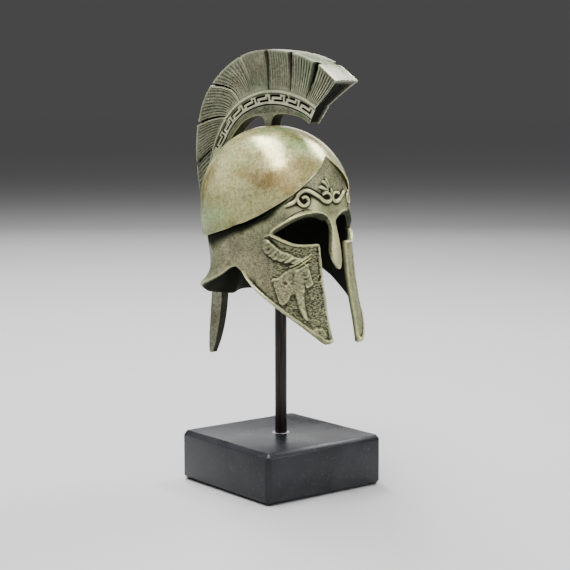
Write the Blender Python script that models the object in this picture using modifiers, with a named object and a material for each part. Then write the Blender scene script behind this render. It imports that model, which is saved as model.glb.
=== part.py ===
"""Miniature crested Greek helmet in bronze, on a round rod and a square stone base.

Frame: +Z up, the helmet faces -Y and is symmetric about X = 0, and the origin
is the centre of the base's underside. Lengths are in metres.
"""
import bpy
import bmesh
from math import sin, cos, pi, radians, sqrt, copysign
from mathutils import Vector

MM = 0.001
GAP = 0.3 * MM                    # clearance kept between neighbouring pieces

# ---- stone base ----
BASE_SIDE = 72.0 * MM
BASE_HEIGHT = 25.3 * MM
BASE_BEVEL = 2.2 * MM
BASE_TURN = radians(-12.3)        # the block is turned on the rod, relative to the helmet
ROD_HOLE_DEPTH = 10.0 * MM

# ---- rod ----
ROD_RADIUS = 2.95 * MM
ROD_SIDES = 24

# ---- helmet shell ----
SHELL_Y = 3.8 * MM                # the shell's own axis lies a little behind the rod
WALL = 2.4 * MM
UNDER_DOME = 3.0 * MM             # thickness of the crown
UNDERCUT = 0.6 * MM               # the skirt starts this far below the dome's edge
DOME_Z = 141.7 * MM               # height of the dome's widest level
DOME_HALF_WIDTH = 33.2 * MM
DOME_FRONT = 40.3 * MM            # from the shell's axis to the front of the dome
DOME_BACK = 39.6 * MM
DOME_RISE = 37.2 * MM
COLUMNS = 72                      # stations round the shell
DOME_ROWS = 9
DOME_SPACING = 1.8                # rows lie closer together towards the crown
SKIRT_ROWS = 8
INNER_ROWS = 7

# Places on the shell are given by s and z: s is the distance in mm round the section at
# REFERENCE_Z, 0 at the front centre line and about 106 at the back; z is the height in mm.
REFERENCE_Z = 120.0 * MM
S, Z = 0, 1
# The dome's lower edge, from the front to the back: s, z.
DOME_EDGE = (
    (0, 162.8), (12.3, 157.6), (19.5, 151.8), (24.8, 146.7), (31.4, 141.3),
    (38.1, 136.7), (46, 133.0), (60, 130.0), (75.5, 125.3), (106.4, 122.8),
)

# The skirt's lower rim: cheek guard's tip, its long lower edge, the arch, the neck guard.
RIM = (
    (0, 75.4), (10.4, 75.4), (13, 74.6), (15, 76.2), (18.2, 79.3), (21.6, 82.1),
    (27.6, 87.2), (33.3, 92.0), (40.2, 97.4), (46.2, 102.2), (50.2, 106.4), (52.6, 109.8),
    (56, 112.0), (60, 110.8), (62.2, 109.2), (65.1, 107.2), (70.5, 104.6), (81.5, 101.0),
    (91.5, 96.9), (106.4, 94.2),
)

# Horizontal sections of the skirt, in mm: height, half width, reach to the front and to the
# back of the shell's axis, and how square the corners are (2 is an ellipse).
SKIRT = (
    (72, 32.6, 47.0, 29.0, 2.66),
    (84, 32.4, 44.3, 29.0, 2.66),
    (94, 32.0, 42.0, 28.8, 2.66),
    (104, 31.4, 39.9, 28.2, 2.66),
    (114, 31.0, 38.4, 28.0, 2.66),
    (122, 30.8, 37.6, 29.4, 2.66),
    (130, 31.0, 37.2, 33.0, 2.64),
    (142, 31.4, 35.8, 35.6, 2.50),
    (150, 30.8, 35.0, 35.6, 2.40),
    (165, 26.0, 31.9, 31.0, 2.10),
)
# The neck guard's lip turns outward near the rim: s, reach in mm.
LIP = ((0, 0.0), (59, 0.0), (71, 3.0), (78, 4.6), (85.5, 4.6), (106.4, 3.6))
LIP_HEIGHT = 9.0 * MM

# ---- face opening ----
EYE_TURN = radians(30)            # each eye faces this far out from straight ahead
# Outline of an eye opening: across the eye (outwards is +) and height, in mm.
EYE = (
    (15.4, 127.8), (12.0, 130.6), (7.5, 133.2), (2.0, 135.2), (-2.6, 136.1), (-7.0, 136.0),
    (-10.4, 134.6), (-12.3, 131.8), (-13.1, 127.5), (-6.9, 123.0), (-3.0, 122.3), (1.0, 122.2),
    (6.0, 122.9), (11.0, 125.1),
)
# Half of the slot between the cheek guards and round the nasal: half width and height, in mm.
SLOT_OUTER = ((11.0, 60.0), (11.0, 86.0), (10.3, 98.0), (10.2, 112.0), (10.8, 124.0), (9.0, 128.0))
NASAL = ((9.0, 136.2), (5.6, 135.1), (3.5, 133.8), (2.6, 132.2), (2.5, 130.0), (2.7, 127.0),
         (3.1, 123.5), (3.7, 119.5), (3.7, 117.6), (2.8, 114.0), (0.0, 110.4))
NASAL_REACH = 1.9 * MM            # how far the nasal's tip stands ahead of the face
NASAL_ROOT, NASAL_LENGTH = 134.0, 24.0
NASAL_SPREAD = 8.0 * MM           # half width over which the forward sweep fades out

# ---- cast relief on the skirt ----
# Every path below has rows of s, z and half width in mm. Both sides carry the same relief.
SINK = 0.8 * MM                   # how deep the relief's strips are rooted in the wall
BROW_RISE, EDGING_RISE, FIGURE_RISE = 0.8 * MM, 0.5 * MM, 0.8 * MM
BROW = {
    "scroll": ((27.0, 141.2, 0.5), (25.0, 142.1, 0.9), (23.2, 143.0, 0.9), (21.6, 144.6, 0.9),
               (20.7, 146.5, 0.9), (18.9, 148.0, 1.0), (16.8, 148.5, 1.0), (14.5, 147.8, 1.0),
               (12.0, 146.5, 1.0), (9.0, 144.8, 1.0), (7.0, 143.4, 1.0), (4.3, 142.6, 1.0),
               (1.9, 143.0, 0.9), (0.8, 144.4, 0.7), (1.4, 146.0, 0.7), (3.5, 147.0, 0.7),
               (5.6, 147.0, 0.8), (6.8, 146.4, 0.7)),
    "volute": ((21.3, 144.9, 0.7), (20.9, 143.4, 0.8), (19.6, 141.8, 0.8), (18.0, 141.3, 0.8),
               (16.5, 141.9, 0.7), (15.7, 143.2, 0.7), (16.2, 144.8, 0.7), (17.4, 145.6, 0.6),
               (18.5, 145.1, 0.5)),
    "leaf_low": ((2.6, 148.1, 0.4), (5.6, 148.9, 0.8), (7.9, 149.7, 0.9), (9.8, 149.9, 0.3)),
    "leaf_middle": ((2.6, 148.8, 0.4), (4.2, 150.9, 0.8), (6.0, 152.1, 0.9), (7.7, 152.5, 0.3)),
    "leaf_high": ((1.4, 149.4, 0.4), (2.9, 152.4, 0.8), (4.3, 154.6, 0.9), (5.2, 156.0, 0.3)),
}
FINIAL = ((0.0, 147.0, 0.6), (0.0, 148.4, 1.2), (0.0, 150.6, 0.6), (0.0, 154.0, 0.9),
          (0.0, 157.2, 0.3))
SIDE_NAMES = {1: "right", -1: "left"}
# Raised edgings: the rim of an eye opening, from the slot under the lower lid round to the
# nasal, the rim's tail behind the eye, and the cheek guard's lower and front borders.
EDGING = {
    "eye_rim": ((8.5, 122.0, 0.7), (11.6, 121.7, 0.7), (15.1, 121.6, 0.7), (19.1, 121.5, 0.7),
                (24.3, 122.2, 0.7), (29.9, 124.4, 0.7), (33.4, 126.2, 0.7), (35.3, 127.8, 0.7),
                (33.6, 129.5, 0.7), (30.6, 131.6, 0.7), (25.5, 134.3, 0.7), (19.9, 136.4, 0.7),
                (15.1, 137.2, 0.7), (10.0, 137.1, 0.7), (5.6, 136.1, 0.7), (2.7, 134.4, 0.6),
                (1.6, 132.0, 0.5), (1.5, 128.0, 0.3)),
    "eye_tail": ((33.0, 128.5, 0.6), (35.5, 127.8, 0.5), (38.8, 126.8, 0.2)),
    "front_border": ((12.0, 121.0, 0.8), (11.3, 110.0, 0.8), (11.6, 98.0, 0.8), (11.9, 88.0, 0.8),
                     (12.4, 79.5, 0.8)),
}
BORDER_S = (16.6, 21.0, 27.0, 33.0, 40.0, 46.0, 50.0)   # the lower border follows the rim
BORDER_LIFT, BORDER_HALF = 0.8, 0.55
# The cheek guard's figure: a braced arm, the hand's two straps, a cloak in two lobes, a leg.
FIGURE = {
    "arm": ((38.6, 122.0, 1.6), (34.5, 119.4, 2.6), (30.5, 117.4, 2.0), (26.5, 116.2, 1.8),
            (22.6, 114.6, 1.0)),
    "strap_upper": ((26.2, 112.9, 0.3), (23.4, 114.2, 0.5), (20.0, 116.0, 0.5), (15.9, 117.4, 0.2)),
    "strap_lower": ((23.6, 111.9, 0.3), (20.4, 113.9, 0.6), (16.6, 116.0, 0.3)),
    "cloak_rear": ((33.6, 104.6, 0.8), (31.4, 101.2, 3.0), (29.6, 99.6, 3.4), (31.0, 95.8, 1.0)),
    "cloak_fold": ((34.9, 105.9, 0.3), (32.0, 107.0, 0.8), (29.6, 109.0, 1.3), (26.8, 110.4, 1.5),
                   (24.0, 110.9, 0.8)),
    "cloak_front": ((20.9, 110.2, 0.8), (19.4, 108.4, 2.0), (18.9, 105.8, 2.0), (19.2, 103.4, 1.1)),
    "leg": ((22.9, 111.2, 1.0), (23.2, 106.0, 1.8), (23.4, 101.7, 1.6), (23.3, 97.0, 1.5),
            (23.2, 92.5, 0.9), (22.4, 88.0, 0.3)),
}

# ---- crest, side view in mm: y (front is -) and height, from the front end to the tail ----
# Rows: outer edge y, z; ridge y, z; foot of the holder y, z; half thicknesses at each.
CREST = (
    (-40.9, 200.6, -26.3, 188.2, -21.2, 179.8, 8.9, 4.8, 4.0),
    (-30.8, 208.4, -20.8, 191.4, -16.3, 182.6, 8.9, 4.8, 4.0),
    (-22.0, 211.8, -15.6, 193.4, -11.5, 183.8, 8.9, 4.8, 4.0),
    (-13.3, 213.9, -10.0, 195.0, -6.0, 184.4, 8.9, 4.8, 4.0),
    (-5.4, 215.1, -3.6, 196.1, -1.0, 184.3, 8.8, 4.8, 4.0),
    (2.2, 215.5, 3.8, 196.3, 5.0, 184.0, 8.6, 4.8, 4.0),
    (11.2, 214.8, 9.4, 195.6, 10.2, 183.7, 8.4, 4.7, 3.9),
    (19.6, 212.4, 14.4, 194.3, 14.8, 183.1, 8.0, 4.7, 3.9),
    (30.0, 207.0, 18.6, 192.8, 18.2, 182.0, 7.4, 4.6, 3.8),
    (39.2, 199.2, 22.8, 190.8, 21.8, 180.0, 7.0, 4.5, 3.8),
    (45.4, 190.6, 27.6, 187.4, 25.4, 176.8, 6.6, 4.4, 3.7),
    (49.4, 179.6, 32.4, 182.8, 29.0, 172.8, 6.2, 4.3, 3.6),
    (51.0, 170.0, 37.0, 176.0, 33.2, 167.6, 5.8, 4.2, 3.5),
    (51.4, 159.0, 41.2, 167.0, 38.5, 161.0, 5.2, 4.0, 3.4),
    (50.4, 148.0, 44.8, 154.0, 43.2, 151.2, 4.6, 3.8, 3.2),
    (48.4, 136.0, 45.6, 138.4, 44.0, 138.4, 4.0, 3.4, 3.0),
    (46.0, 122.0, 44.2, 122.4, 43.2, 122.6, 3.4, 3.1, 2.9),
    (44.2, 108.0, 42.2, 108.2, 38.9, 108.4, 3.0, 2.9, 2.8),
    (43.6, 95.0, 41.2, 95.2, 37.8, 95.6, 2.9, 2.8, 2.7),
    (44.4, 81.0, 42.2, 81.2, 39.0, 81.6, 2.8, 2.7, 2.6),
    (45.0, 70.0, 43.4, 70.0, 41.2, 70.0, 2.2, 2.1, 2.0),
    (44.8, 62.0, 44.4, 61.8, 43.8, 61.8, 0.9, 0.9, 0.9),
)
# Key pattern on the crest's band: one unit's raised line, along the band and up it (0 to 1).
KEY_UNIT = ((0.0, 0.0), (0.0, 1.0), (0.8, 1.0), (0.8, 0.3), (0.35, 0.3), (0.35, 0.62))
KEY_CENTRE_Y, KEY_CENTRE_Z = 0.9 * MM, 148.1 * MM
KEY_LOW, KEY_HIGH = 42.9 * MM, 46.2 * MM
KEY_FIRST, KEY_PITCH = radians(-26.5), radians(9.3)   # from straight up, the front is negative
KEY_UNITS = 8
KEY_HALF, KEY_RISE = 0.42 * MM, 0.45 * MM
BAND_HALF = 4.35 * MM             # half thickness of the crest at its band
RAIL_RADIUS = 42.0 * MM           # the plain rail under the key pattern
TUFT_DEPTH = 0.42                 # share of the flare that is missing in a gap between tufts
TUFT_HALF = 0.9 * MM              # half width of a gap at the plume's outer edge
STUB_FRONT, STUB_BACK = 2.9 * MM, 7.2 * MM
STUB_HALF = 4.0 * MM


# ---------------------------------------------------------------- helpers
def clear_scene():
    for obj in list(bpy.data.objects):
        bpy.data.objects.remove(obj, do_unlink=True)
    for coll in list(bpy.data.collections):
        bpy.data.collections.remove(coll)


def collection(name):
    coll = bpy.data.collections.new(name)
    bpy.context.scene.collection.children.link(coll)
    return coll


def material(name, colour, roughness, metallic):
    mat = bpy.data.materials.new(name)
    mat.use_nodes = True
    shader = mat.node_tree.nodes["Principled BSDF"]
    shader.inputs["Base Color"].default_value = (*colour, 1.0)
    shader.inputs["Roughness"].default_value = roughness
    shader.inputs["Metallic"].default_value = metallic
    return mat


def mesh_object(name, bm, coll, mat=None, smooth_angle=None):
    bmesh.ops.recalc_face_normals(bm, faces=bm.faces)
    mesh = bpy.data.meshes.new(name)
    bm.to_mesh(mesh)
    bm.free()
    obj = bpy.data.objects.new(name, mesh)
    coll.objects.link(obj)
    if mat:
        mesh.materials.append(mat)
    if smooth_angle:
        mesh.shade_smooth()
        mesh.set_sharp_from_angle(angle=smooth_angle)
    return obj


def make_cutter(obj):
    obj.hide_render = True
    obj.display_type = 'WIRE'
    return obj


def cut(target, cutter, operation='DIFFERENCE'):
    mod = target.modifiers.new(cutter.name, 'BOOLEAN')
    mod.operation = operation
    mod.object = cutter
    mod.solver = 'EXACT'


def read(table, at, column):
    """Linear reading of a short table whose first column rises."""
    if at <= table[0][0]:
        return table[0][column]
    for low, high in zip(table, table[1:]):
        if at <= high[0]:
            share = (at - low[0]) / (high[0] - low[0])
            return low[column] + share * (high[column] - low[column])
    return table[-1][column]


def rounded(table, at, column, spread):
    """The same reading, averaged over a short spread, so that corners turn softly."""
    steps = [-1.0, -0.5, 0.0, 0.5, 1.0]
    return sum(read(table, at + s * spread, column) for s in steps) / len(steps)


def section_point(angle, half_width, front, back, corner, z):
    """A point of a horizontal section; angle 0 is the front and 90 degrees is -X."""
    power = 2.0 / corner
    s, c = sin(angle), cos(angle)
    reach = front if c > 0 else back
    x = -half_width * copysign(abs(s) ** power, s)
    y = SHELL_Y - reach * copysign(abs(c) ** power, c)
    return Vector((x, y, z))


def reference_section(angle):
    half, front, back, corner = (read(SKIRT, REFERENCE_Z / MM, k) for k in (1, 2, 3, 4))
    return section_point(angle, half * MM, front * MM, back * MM, corner, REFERENCE_Z)


def walk_round():
    """Rows of distance s and station angle round half of the reference section."""
    rows, steps = [(0.0, 0.0)], 360
    here = reference_section(0.0)
    for step in range(1, steps + 1):
        angle = pi * step / steps
        there = reference_section(angle)
        rows.append((rows[-1][0] + (there - here).length / MM, angle))
        here = there
    return rows


ROUND = walk_round()
HALF_ROUND = ROUND[-1][0]


def station_angle(s):
    """Angle at a distance s from the front centre line; positive s is the -X side."""
    return copysign(read(ROUND, abs(s), 1), s)


def dome_point(s, z, inset=0.0):
    """A point of the dome at a height; below its widest level the dome draws in slightly."""
    up = (z - DOME_Z) / (DOME_RISE - inset)
    level = sqrt(max(0.0, 1.0 - up * up)) if up > 0 else 1.0 - 0.12 * up * up
    return section_point(station_angle(s), (DOME_HALF_WIDTH - inset) * level,
                         (DOME_FRONT - inset) * level, (DOME_BACK - inset) * level, 2.0, z)


def skirt_point(s, z, inset=0.0):
    """A point of the wall below the dome, with the nasal's forward sweep near the centre."""
    at = z / MM
    half, front, back, corner = (rounded(SKIRT, at, k, 2.0) * (MM if k < 4 else 1.0)
                                 for k in (1, 2, 3, 4))
    above_rim = max(0.0, z - rounded(RIM, abs(s), Z, 1.0) * MM)
    lip = read(LIP, abs(s), 1) * MM * max(0.0, 1.0 - above_rim / LIP_HEIGHT) ** 2
    point = section_point(station_angle(s), half + lip - inset, front - inset,
                          back + lip - inset, corner, z)
    near_centre = max(0.0, 1.0 - abs(point.x) / NASAL_SPREAD)
    sweep = min(1.0, max(0.0, (NASAL_ROOT - at) / NASAL_LENGTH))
    point.y -= NASAL_REACH * sweep * near_centre
    return point


# ---------------------------------------------------------------- helmet shell
def helmet_column(s):
    """One station's points, from the crown down the outside and back up the inside."""
    edge = rounded(DOME_EDGE, abs(s), Z, 1.5) * MM
    rim = rounded(RIM, abs(s), Z, 1.0) * MM
    top = DOME_Z + DOME_RISE
    points = [dome_point(s, top - (top - edge) * (row / DOME_ROWS) ** DOME_SPACING)
              for row in range(1, DOME_ROWS + 1)]
    points.append(skirt_point(s, edge - UNDERCUT))
    points += [skirt_point(s, edge + (rim - edge) * row / SKIRT_ROWS)
               for row in range(1, SKIRT_ROWS + 1)]
    points += [skirt_point(s, rim + (edge - rim) * row / SKIRT_ROWS, WALL)
               for row in range(SKIRT_ROWS + 1)]
    start, inner_top = points[-1], top - UNDER_DOME
    for row in range(1, INNER_ROWS):
        share = row / INNER_ROWS
        z = edge + (inner_top - edge) * (1.0 - (1.0 - share) ** 2)
        under_dome = dome_point(s, z, UNDER_DOME)
        points.append(Vector((start.x, start.y, z)).lerp(under_dome, min(1.0, share * 2.5)))
    return points


def build_shell(coll, cutters, mat):
    bm = bmesh.new()
    rings = []
    for step in range(COLUMNS):
        s = HALF_ROUND * (2.0 * step / COLUMNS - 1.0)
        rings.append([bm.verts.new(p) for p in helmet_column(s)])
    crown = bm.verts.new((0.0, SHELL_Y, DOME_Z + DOME_RISE))
    inner = bm.verts.new((0.0, SHELL_Y, DOME_Z + DOME_RISE - UNDER_DOME))
    for step in range(COLUMNS):
        here, there = rings[step], rings[(step + 1) % COLUMNS]
        bm.faces.new((crown, there[0], here[0]))
        for row in range(len(here) - 1):
            bm.faces.new((here[row], there[row], there[row + 1], here[row + 1]))
        bm.faces.new((here[-1], there[-1], inner))
    shell = mesh_object("helmet_shell", bm, coll, mat, radians(35))

    add_relief(shell, build_shell_relief())
    for side in (1, -1):
        outward, across = eye_axes(side)
        outline = [across * q * MM + Vector((0.0, 0.0, z * MM)) for q, z in EYE]
        cut(shell, prism("eye_cutter_%s" % SIDE_NAMES[side], outline,
                         outward, 18.0 * MM, 60.0 * MM, cutters))
    left = [(-x, z) for x, z in SLOT_OUTER] + [(-x, z) for x, z in NASAL]
    right = [(x, z) for x, z in reversed(NASAL[:-1])] + [(x, z) for x, z in reversed(SLOT_OUTER)]
    outline = [Vector((x * MM, 0.0, z * MM)) for x, z in left + right]
    cut(shell, prism("face_slot_cutter", outline, Vector((0.0, -1.0, 0.0)),
                     18.0 * MM, 60.0 * MM, cutters))
    return shell


# ---------------------------------------------------------------- cast relief
def eye_axes(side):
    """The direction that an eye opening faces, and the one across it; side 1 is -X."""
    outward = Vector((-side * sin(EYE_TURN), -cos(EYE_TURN), 0.0))
    across = Vector((-side * cos(EYE_TURN), sin(EYE_TURN), 0.0))
    return outward, across


def skirt_frame(s, z):
    """A point of the skirt and the direction out of it."""
    point = skirt_point(s, z)
    step, lift = 0.4, 0.4 * MM
    along = skirt_point(s + step, z) - skirt_point(s - step, z)
    up = skirt_point(s, z + lift) - skirt_point(s, z - lift)
    normal = up.cross(along).normalized()
    return point, normal if normal.y * (point.y - SHELL_Y) + normal.x * point.x > 0 else -normal


def raised_strip(name, frames, half_widths, rise, coll):
    """A closed rounded bar along a surface, with its foot rooted in the wall."""
    bm = bmesh.new()
    loops = []
    last = len(frames) - 1
    section = ((-1.0, -SINK), (-0.75, 0.6 * rise), (0.0, rise), (0.75, 0.6 * rise), (1.0, -SINK))
    for index, ((point, normal), half) in enumerate(zip(frames, half_widths)):
        run = frames[min(index + 1, last)][0] - frames[max(index - 1, 0)][0]
        across = normal.cross(run).normalized() * half
        loops.append([bm.verts.new(point + across * a + normal * h) for a, h in section])
    for here, there in zip(loops, loops[1:]):
        for i in range(len(section)):
            j = (i + 1) % len(section)
            bm.faces.new((here[i], here[j], there[j], there[i]))
    bm.faces.new(list(reversed(loops[0])))
    bm.faces.new(loops[-1])
    return make_cutter(mesh_object(name, bm, coll))


def skirt_strip(name, side, path, rise, coll):
    frames = [skirt_frame(side * s, z * MM) for s, z, half in path]
    return raised_strip(name, frames, [half * MM for s, z, half in path], rise, coll)


def build_shell_relief():
    coll = collection("shell_relief")
    border = [(s, read(RIM, s, Z) + BORDER_LIFT, BORDER_HALF) for s in BORDER_S]
    for side in (1, -1):
        skirt_strip("border_%s" % SIDE_NAMES[side], side, border, EDGING_RISE, coll)
        for strips, rise in ((BROW, BROW_RISE), (FIGURE, FIGURE_RISE), (EDGING, EDGING_RISE)):
            for name, path in strips.items():
                skirt_strip("%s_%s" % (name, SIDE_NAMES[side]), side, path, rise, coll)
    skirt_strip("finial", 1, FINIAL, BROW_RISE, coll)
    return coll


def add_relief(target, coll):
    """Fuses every strip of a collection with the piece that carries it."""
    mod = target.modifiers.new(coll.name, 'BOOLEAN')
    mod.operation = 'UNION'
    mod.operand_type = 'COLLECTION'
    mod.collection = coll
    mod.solver = 'EXACT'


def prism(name, outline, direction, near, far, coll):
    """A closed prism: the outline swept along a direction between two distances."""
    bm = bmesh.new()
    start = [bm.verts.new(p + direction * near) for p in outline]
    end = [bm.verts.new(p + direction * far) for p in outline]
    bm.faces.new(start)
    bm.faces.new(list(reversed(end)))
    for i in range(len(outline)):
        j = (i + 1) % len(outline)
        bm.faces.new((start[j], start[i], end[i], end[j]))
    return make_cutter(mesh_object(name, bm, coll))


# ---------------------------------------------------------------- crest
def crest_row(row):
    """Tuple of a station: outer, ridge and foot points (y, z) and their half thicknesses."""
    outer = Vector((row[0], row[1])) * MM
    ridge = Vector((row[2], row[3])) * MM
    foot = Vector((row[4], row[5])) * MM
    return outer, ridge, foot, row[6] * MM, row[7] * MM, row[8] * MM


def crest_loop(bm, outer, ridge, foot, half_outer, half_ridge, half_foot):
    profile = ((foot, -half_foot), (ridge, -half_ridge), (outer, -half_outer),
               (outer, half_outer), (ridge, half_ridge), (foot, half_foot))
    return [bm.verts.new((x, p.x, p.y)) for p, x in profile]


def build_crest(coll, cutters, mat):
    bm = bmesh.new()
    rows = [crest_row(r) for r in CREST]
    loops = []
    for index, row in enumerate(rows):
        outer, ridge, foot, ho, hr, hf = row
        tuft_gap = 0 < index < 16 and index % 2 == 1
        if not tuft_gap:
            loops.append(crest_loop(bm, *row))
            continue
        along = (rows[index + 1][0] - rows[index - 1][0]).normalized() * TUFT_HALF
        low = (rows[index + 1][1] - rows[index - 1][1]).normalized() * TUFT_HALF * 0.4
        sunk = ho - (ho - hr) * TUFT_DEPTH
        loops.append(crest_loop(bm, outer - along, ridge - low, foot, ho, hr, hf))
        loops.append(crest_loop(bm, outer, ridge, foot + low * 0.01, sunk, hr, hf))
        loops.append(crest_loop(bm, outer + along, ridge + low, foot + low * 0.02, ho, hr, hf))
    for here, there in zip(loops, loops[1:]):
        for i in range(6):
            j = (i + 1) % 6
            bm.faces.new((here[i], here[j], there[j], there[i]))
    bm.faces.new(list(reversed(loops[0])))
    bm.faces.new(loops[-1])
    crest = mesh_object("crest", bm, coll, mat, radians(25))

    foot_z = DOME_Z + DOME_RISE + GAP
    arch_z = 184.9 * MM
    flare = 3.2 * MM
    outline = [Vector((-STUB_HALF, STUB_FRONT, foot_z)), Vector((-STUB_HALF, STUB_BACK, foot_z))]
    for k in range(1, 6):
        turn = 0.5 * pi * k / 5
        outline.append(Vector((-STUB_HALF, STUB_BACK + flare * (1 - cos(turn)),
                               foot_z + (arch_z - foot_z) * sin(turn))))
    for k in range(5, 0, -1):
        turn = 0.5 * pi * k / 5
        outline.append(Vector((-STUB_HALF, STUB_FRONT - flare * (1 - cos(turn)),
                               foot_z + (arch_z - foot_z) * sin(turn))))
    stub = prism("stub_former", outline, Vector((1.0, 0.0, 0.0)), 0.02 * MM,
                 2 * STUB_HALF - 0.02 * MM, cutters)
    cut(crest, stub, 'UNION')
    add_relief(crest, build_crest_relief())
    return crest


def band_frame(side, turn, radius):
    """A point on the crest's side at a turn from straight up (back is +) and a radius."""
    point = Vector((-side * BAND_HALF, KEY_CENTRE_Y + radius * sin(turn),
                    KEY_CENTRE_Z + radius * cos(turn)))
    return point, Vector((-side, 0.0, 0.0))


def build_crest_relief():
    coll = collection("crest_relief")
    for side in (1, -1):
        for unit in range(KEY_UNITS):
            start = KEY_FIRST + unit * KEY_PITCH
            frames = [band_frame(side, start + a * KEY_PITCH, KEY_LOW + b * (KEY_HIGH - KEY_LOW))
                      for a, b in KEY_UNIT]
            raised_strip("key_%s_%d" % (SIDE_NAMES[side], unit), frames,
                         [KEY_HALF] * len(frames), KEY_RISE, coll)
        rail = [band_frame(side, KEY_FIRST + k * KEY_PITCH, RAIL_RADIUS)
                for k in range(KEY_UNITS + 1)]
        raised_strip("rail_%s" % SIDE_NAMES[side], rail, [KEY_HALF] * len(rail), KEY_RISE, coll)
    return coll


# ---------------------------------------------------------------- rod and base
def build_rod(coll, mat):
    bottom = BASE_HEIGHT - ROD_HOLE_DEPTH + GAP
    inner = WALL
    top = DOME_Z + DOME_RISE - inner
    squash = sqrt(1.0 - (SHELL_Y / (DOME_FRONT - WALL)) ** 2)
    top = DOME_Z + (top - DOME_Z) * squash - 1.2 * MM
    bpy.ops.mesh.primitive_cylinder_add(vertices=ROD_SIDES, radius=ROD_RADIUS,
                                        depth=top - bottom, location=(0, 0, (top + bottom) / 2))
    rod = bpy.context.active_object
    rod.name = "support_rod"
    move_to(rod, coll)
    rod.data.materials.append(mat)
    rod.data.shade_smooth()
    rod.data.set_sharp_from_angle(angle=radians(40))
    return rod


def move_to(obj, coll):
    for old in list(obj.users_collection):
        old.objects.unlink(obj)
    coll.objects.link(obj)


def build_base(coll, cutters, mat):
    bpy.ops.mesh.primitive_cube_add(size=1.0, location=(0, 0, BASE_HEIGHT / 2))
    base = bpy.context.active_object
    base.name = "stone_base"
    base.scale = (BASE_SIDE, BASE_SIDE, BASE_HEIGHT)
    bpy.ops.object.transform_apply(location=False, rotation=False, scale=True)
    base.rotation_euler.z = BASE_TURN
    move_to(base, coll)
    base.data.materials.append(mat)
    bevel = base.modifiers.new("worn_edges", 'BEVEL')
    bevel.width = BASE_BEVEL
    bevel.segments = 1
    bpy.ops.mesh.primitive_cylinder_add(vertices=ROD_SIDES, radius=ROD_RADIUS + GAP,
                                        depth=2 * ROD_HOLE_DEPTH, location=(0, 0, BASE_HEIGHT))
    hole = bpy.context.active_object
    hole.name = "rod_hole_cutter"
    move_to(hole, cutters)
    cut(base, make_cutter(hole))
    return base


def main():
    clear_scene()
    parts = collection("crested_helmet_on_stand")
    cutters = collection("cutters")
    bronze = material("patinated_bronze", (0.235, 0.235, 0.135), 0.42, 0.85)
    crest_bronze = material("crest_bronze", (0.150, 0.155, 0.105), 0.50, 0.80)
    iron = material("rod_iron", (0.060, 0.050, 0.042), 0.40, 0.90)
    stone = material("honed_stone", (0.050, 0.052, 0.056), 0.45, 0.0)
    build_base(parts, cutters, stone)
    build_rod(parts, iron)
    build_shell(parts, cutters, bronze)
    build_crest(parts, cutters, crest_bronze)


main()
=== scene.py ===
# %% [markdown]
# # A small crested helmet on its stand
# The real object is a desk-sized bronze casting: a dome over a narrower face piece with cheek
# guards, a fan-shaped crest on top, and one rod that carries it over a block of dark stone.
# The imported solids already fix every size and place. This lesson keeps them as a frame and
# models the fine, visible surface of each piece round them.

# %% Load the frame
from math import cos, pi, radians, sin

import bpy
import numpy as np
from mathutils import Matrix, Vector


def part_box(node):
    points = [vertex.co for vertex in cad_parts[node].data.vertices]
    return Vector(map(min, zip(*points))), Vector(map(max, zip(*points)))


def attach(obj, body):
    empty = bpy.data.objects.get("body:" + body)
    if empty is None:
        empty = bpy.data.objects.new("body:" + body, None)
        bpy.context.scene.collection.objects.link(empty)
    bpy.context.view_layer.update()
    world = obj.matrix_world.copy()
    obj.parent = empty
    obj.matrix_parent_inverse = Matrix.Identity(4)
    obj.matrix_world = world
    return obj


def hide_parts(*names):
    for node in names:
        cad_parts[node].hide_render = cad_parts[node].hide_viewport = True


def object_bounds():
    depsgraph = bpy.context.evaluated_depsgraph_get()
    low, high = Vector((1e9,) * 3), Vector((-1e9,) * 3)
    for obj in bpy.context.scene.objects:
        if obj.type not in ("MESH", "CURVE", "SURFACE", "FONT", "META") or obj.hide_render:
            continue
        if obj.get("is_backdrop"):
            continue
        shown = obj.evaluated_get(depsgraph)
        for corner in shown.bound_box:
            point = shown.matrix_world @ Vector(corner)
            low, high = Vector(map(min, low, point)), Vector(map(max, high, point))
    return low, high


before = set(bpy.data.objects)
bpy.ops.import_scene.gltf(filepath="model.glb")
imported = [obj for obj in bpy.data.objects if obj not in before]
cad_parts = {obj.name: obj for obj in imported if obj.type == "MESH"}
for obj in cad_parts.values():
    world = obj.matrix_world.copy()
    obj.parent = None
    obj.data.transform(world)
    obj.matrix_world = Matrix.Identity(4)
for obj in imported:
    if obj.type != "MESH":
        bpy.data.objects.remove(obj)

CAD_BOX = [list(corner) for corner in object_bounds()]
MM = 0.001
print("frame", sorted(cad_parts), "box in mm",
      [[round(v / MM, 1) for v in corner] for corner in CAD_BOX])

# %% [markdown]
# ## Helpers for modelling
# Blender's operators act on whatever is selected, and loading the frame leaves its nodes
# selected. So a small helper clears the selection first. A second one hands a mesh's points to
# numpy and back, which is how a flat grid is wrapped on a curved wall a few cells further down.


# %% Selection, points and finishing
def select_only(obj):
    if bpy.context.object and bpy.context.object.mode != 'OBJECT':
        bpy.ops.object.mode_set(mode='OBJECT')
    bpy.ops.object.select_all(action='DESELECT')
    obj.select_set(True)
    bpy.context.view_layer.objects.active = obj


def added(name):
    """The primitive that was just added, with its name and its place applied."""
    obj = bpy.context.active_object
    obj.name = name
    obj.data.name = name
    select_only(obj)
    bpy.ops.object.transform_apply(location=True, rotation=True, scale=True)
    return obj


def points_of(obj):
    flat = np.empty(len(obj.data.vertices) * 3)
    obj.data.vertices.foreach_get("co", flat)
    return flat.reshape(-1, 3)


def set_points(obj, points):
    obj.data.vertices.foreach_set("co", np.asarray(points, dtype=float).ravel())
    obj.data.update()


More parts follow.
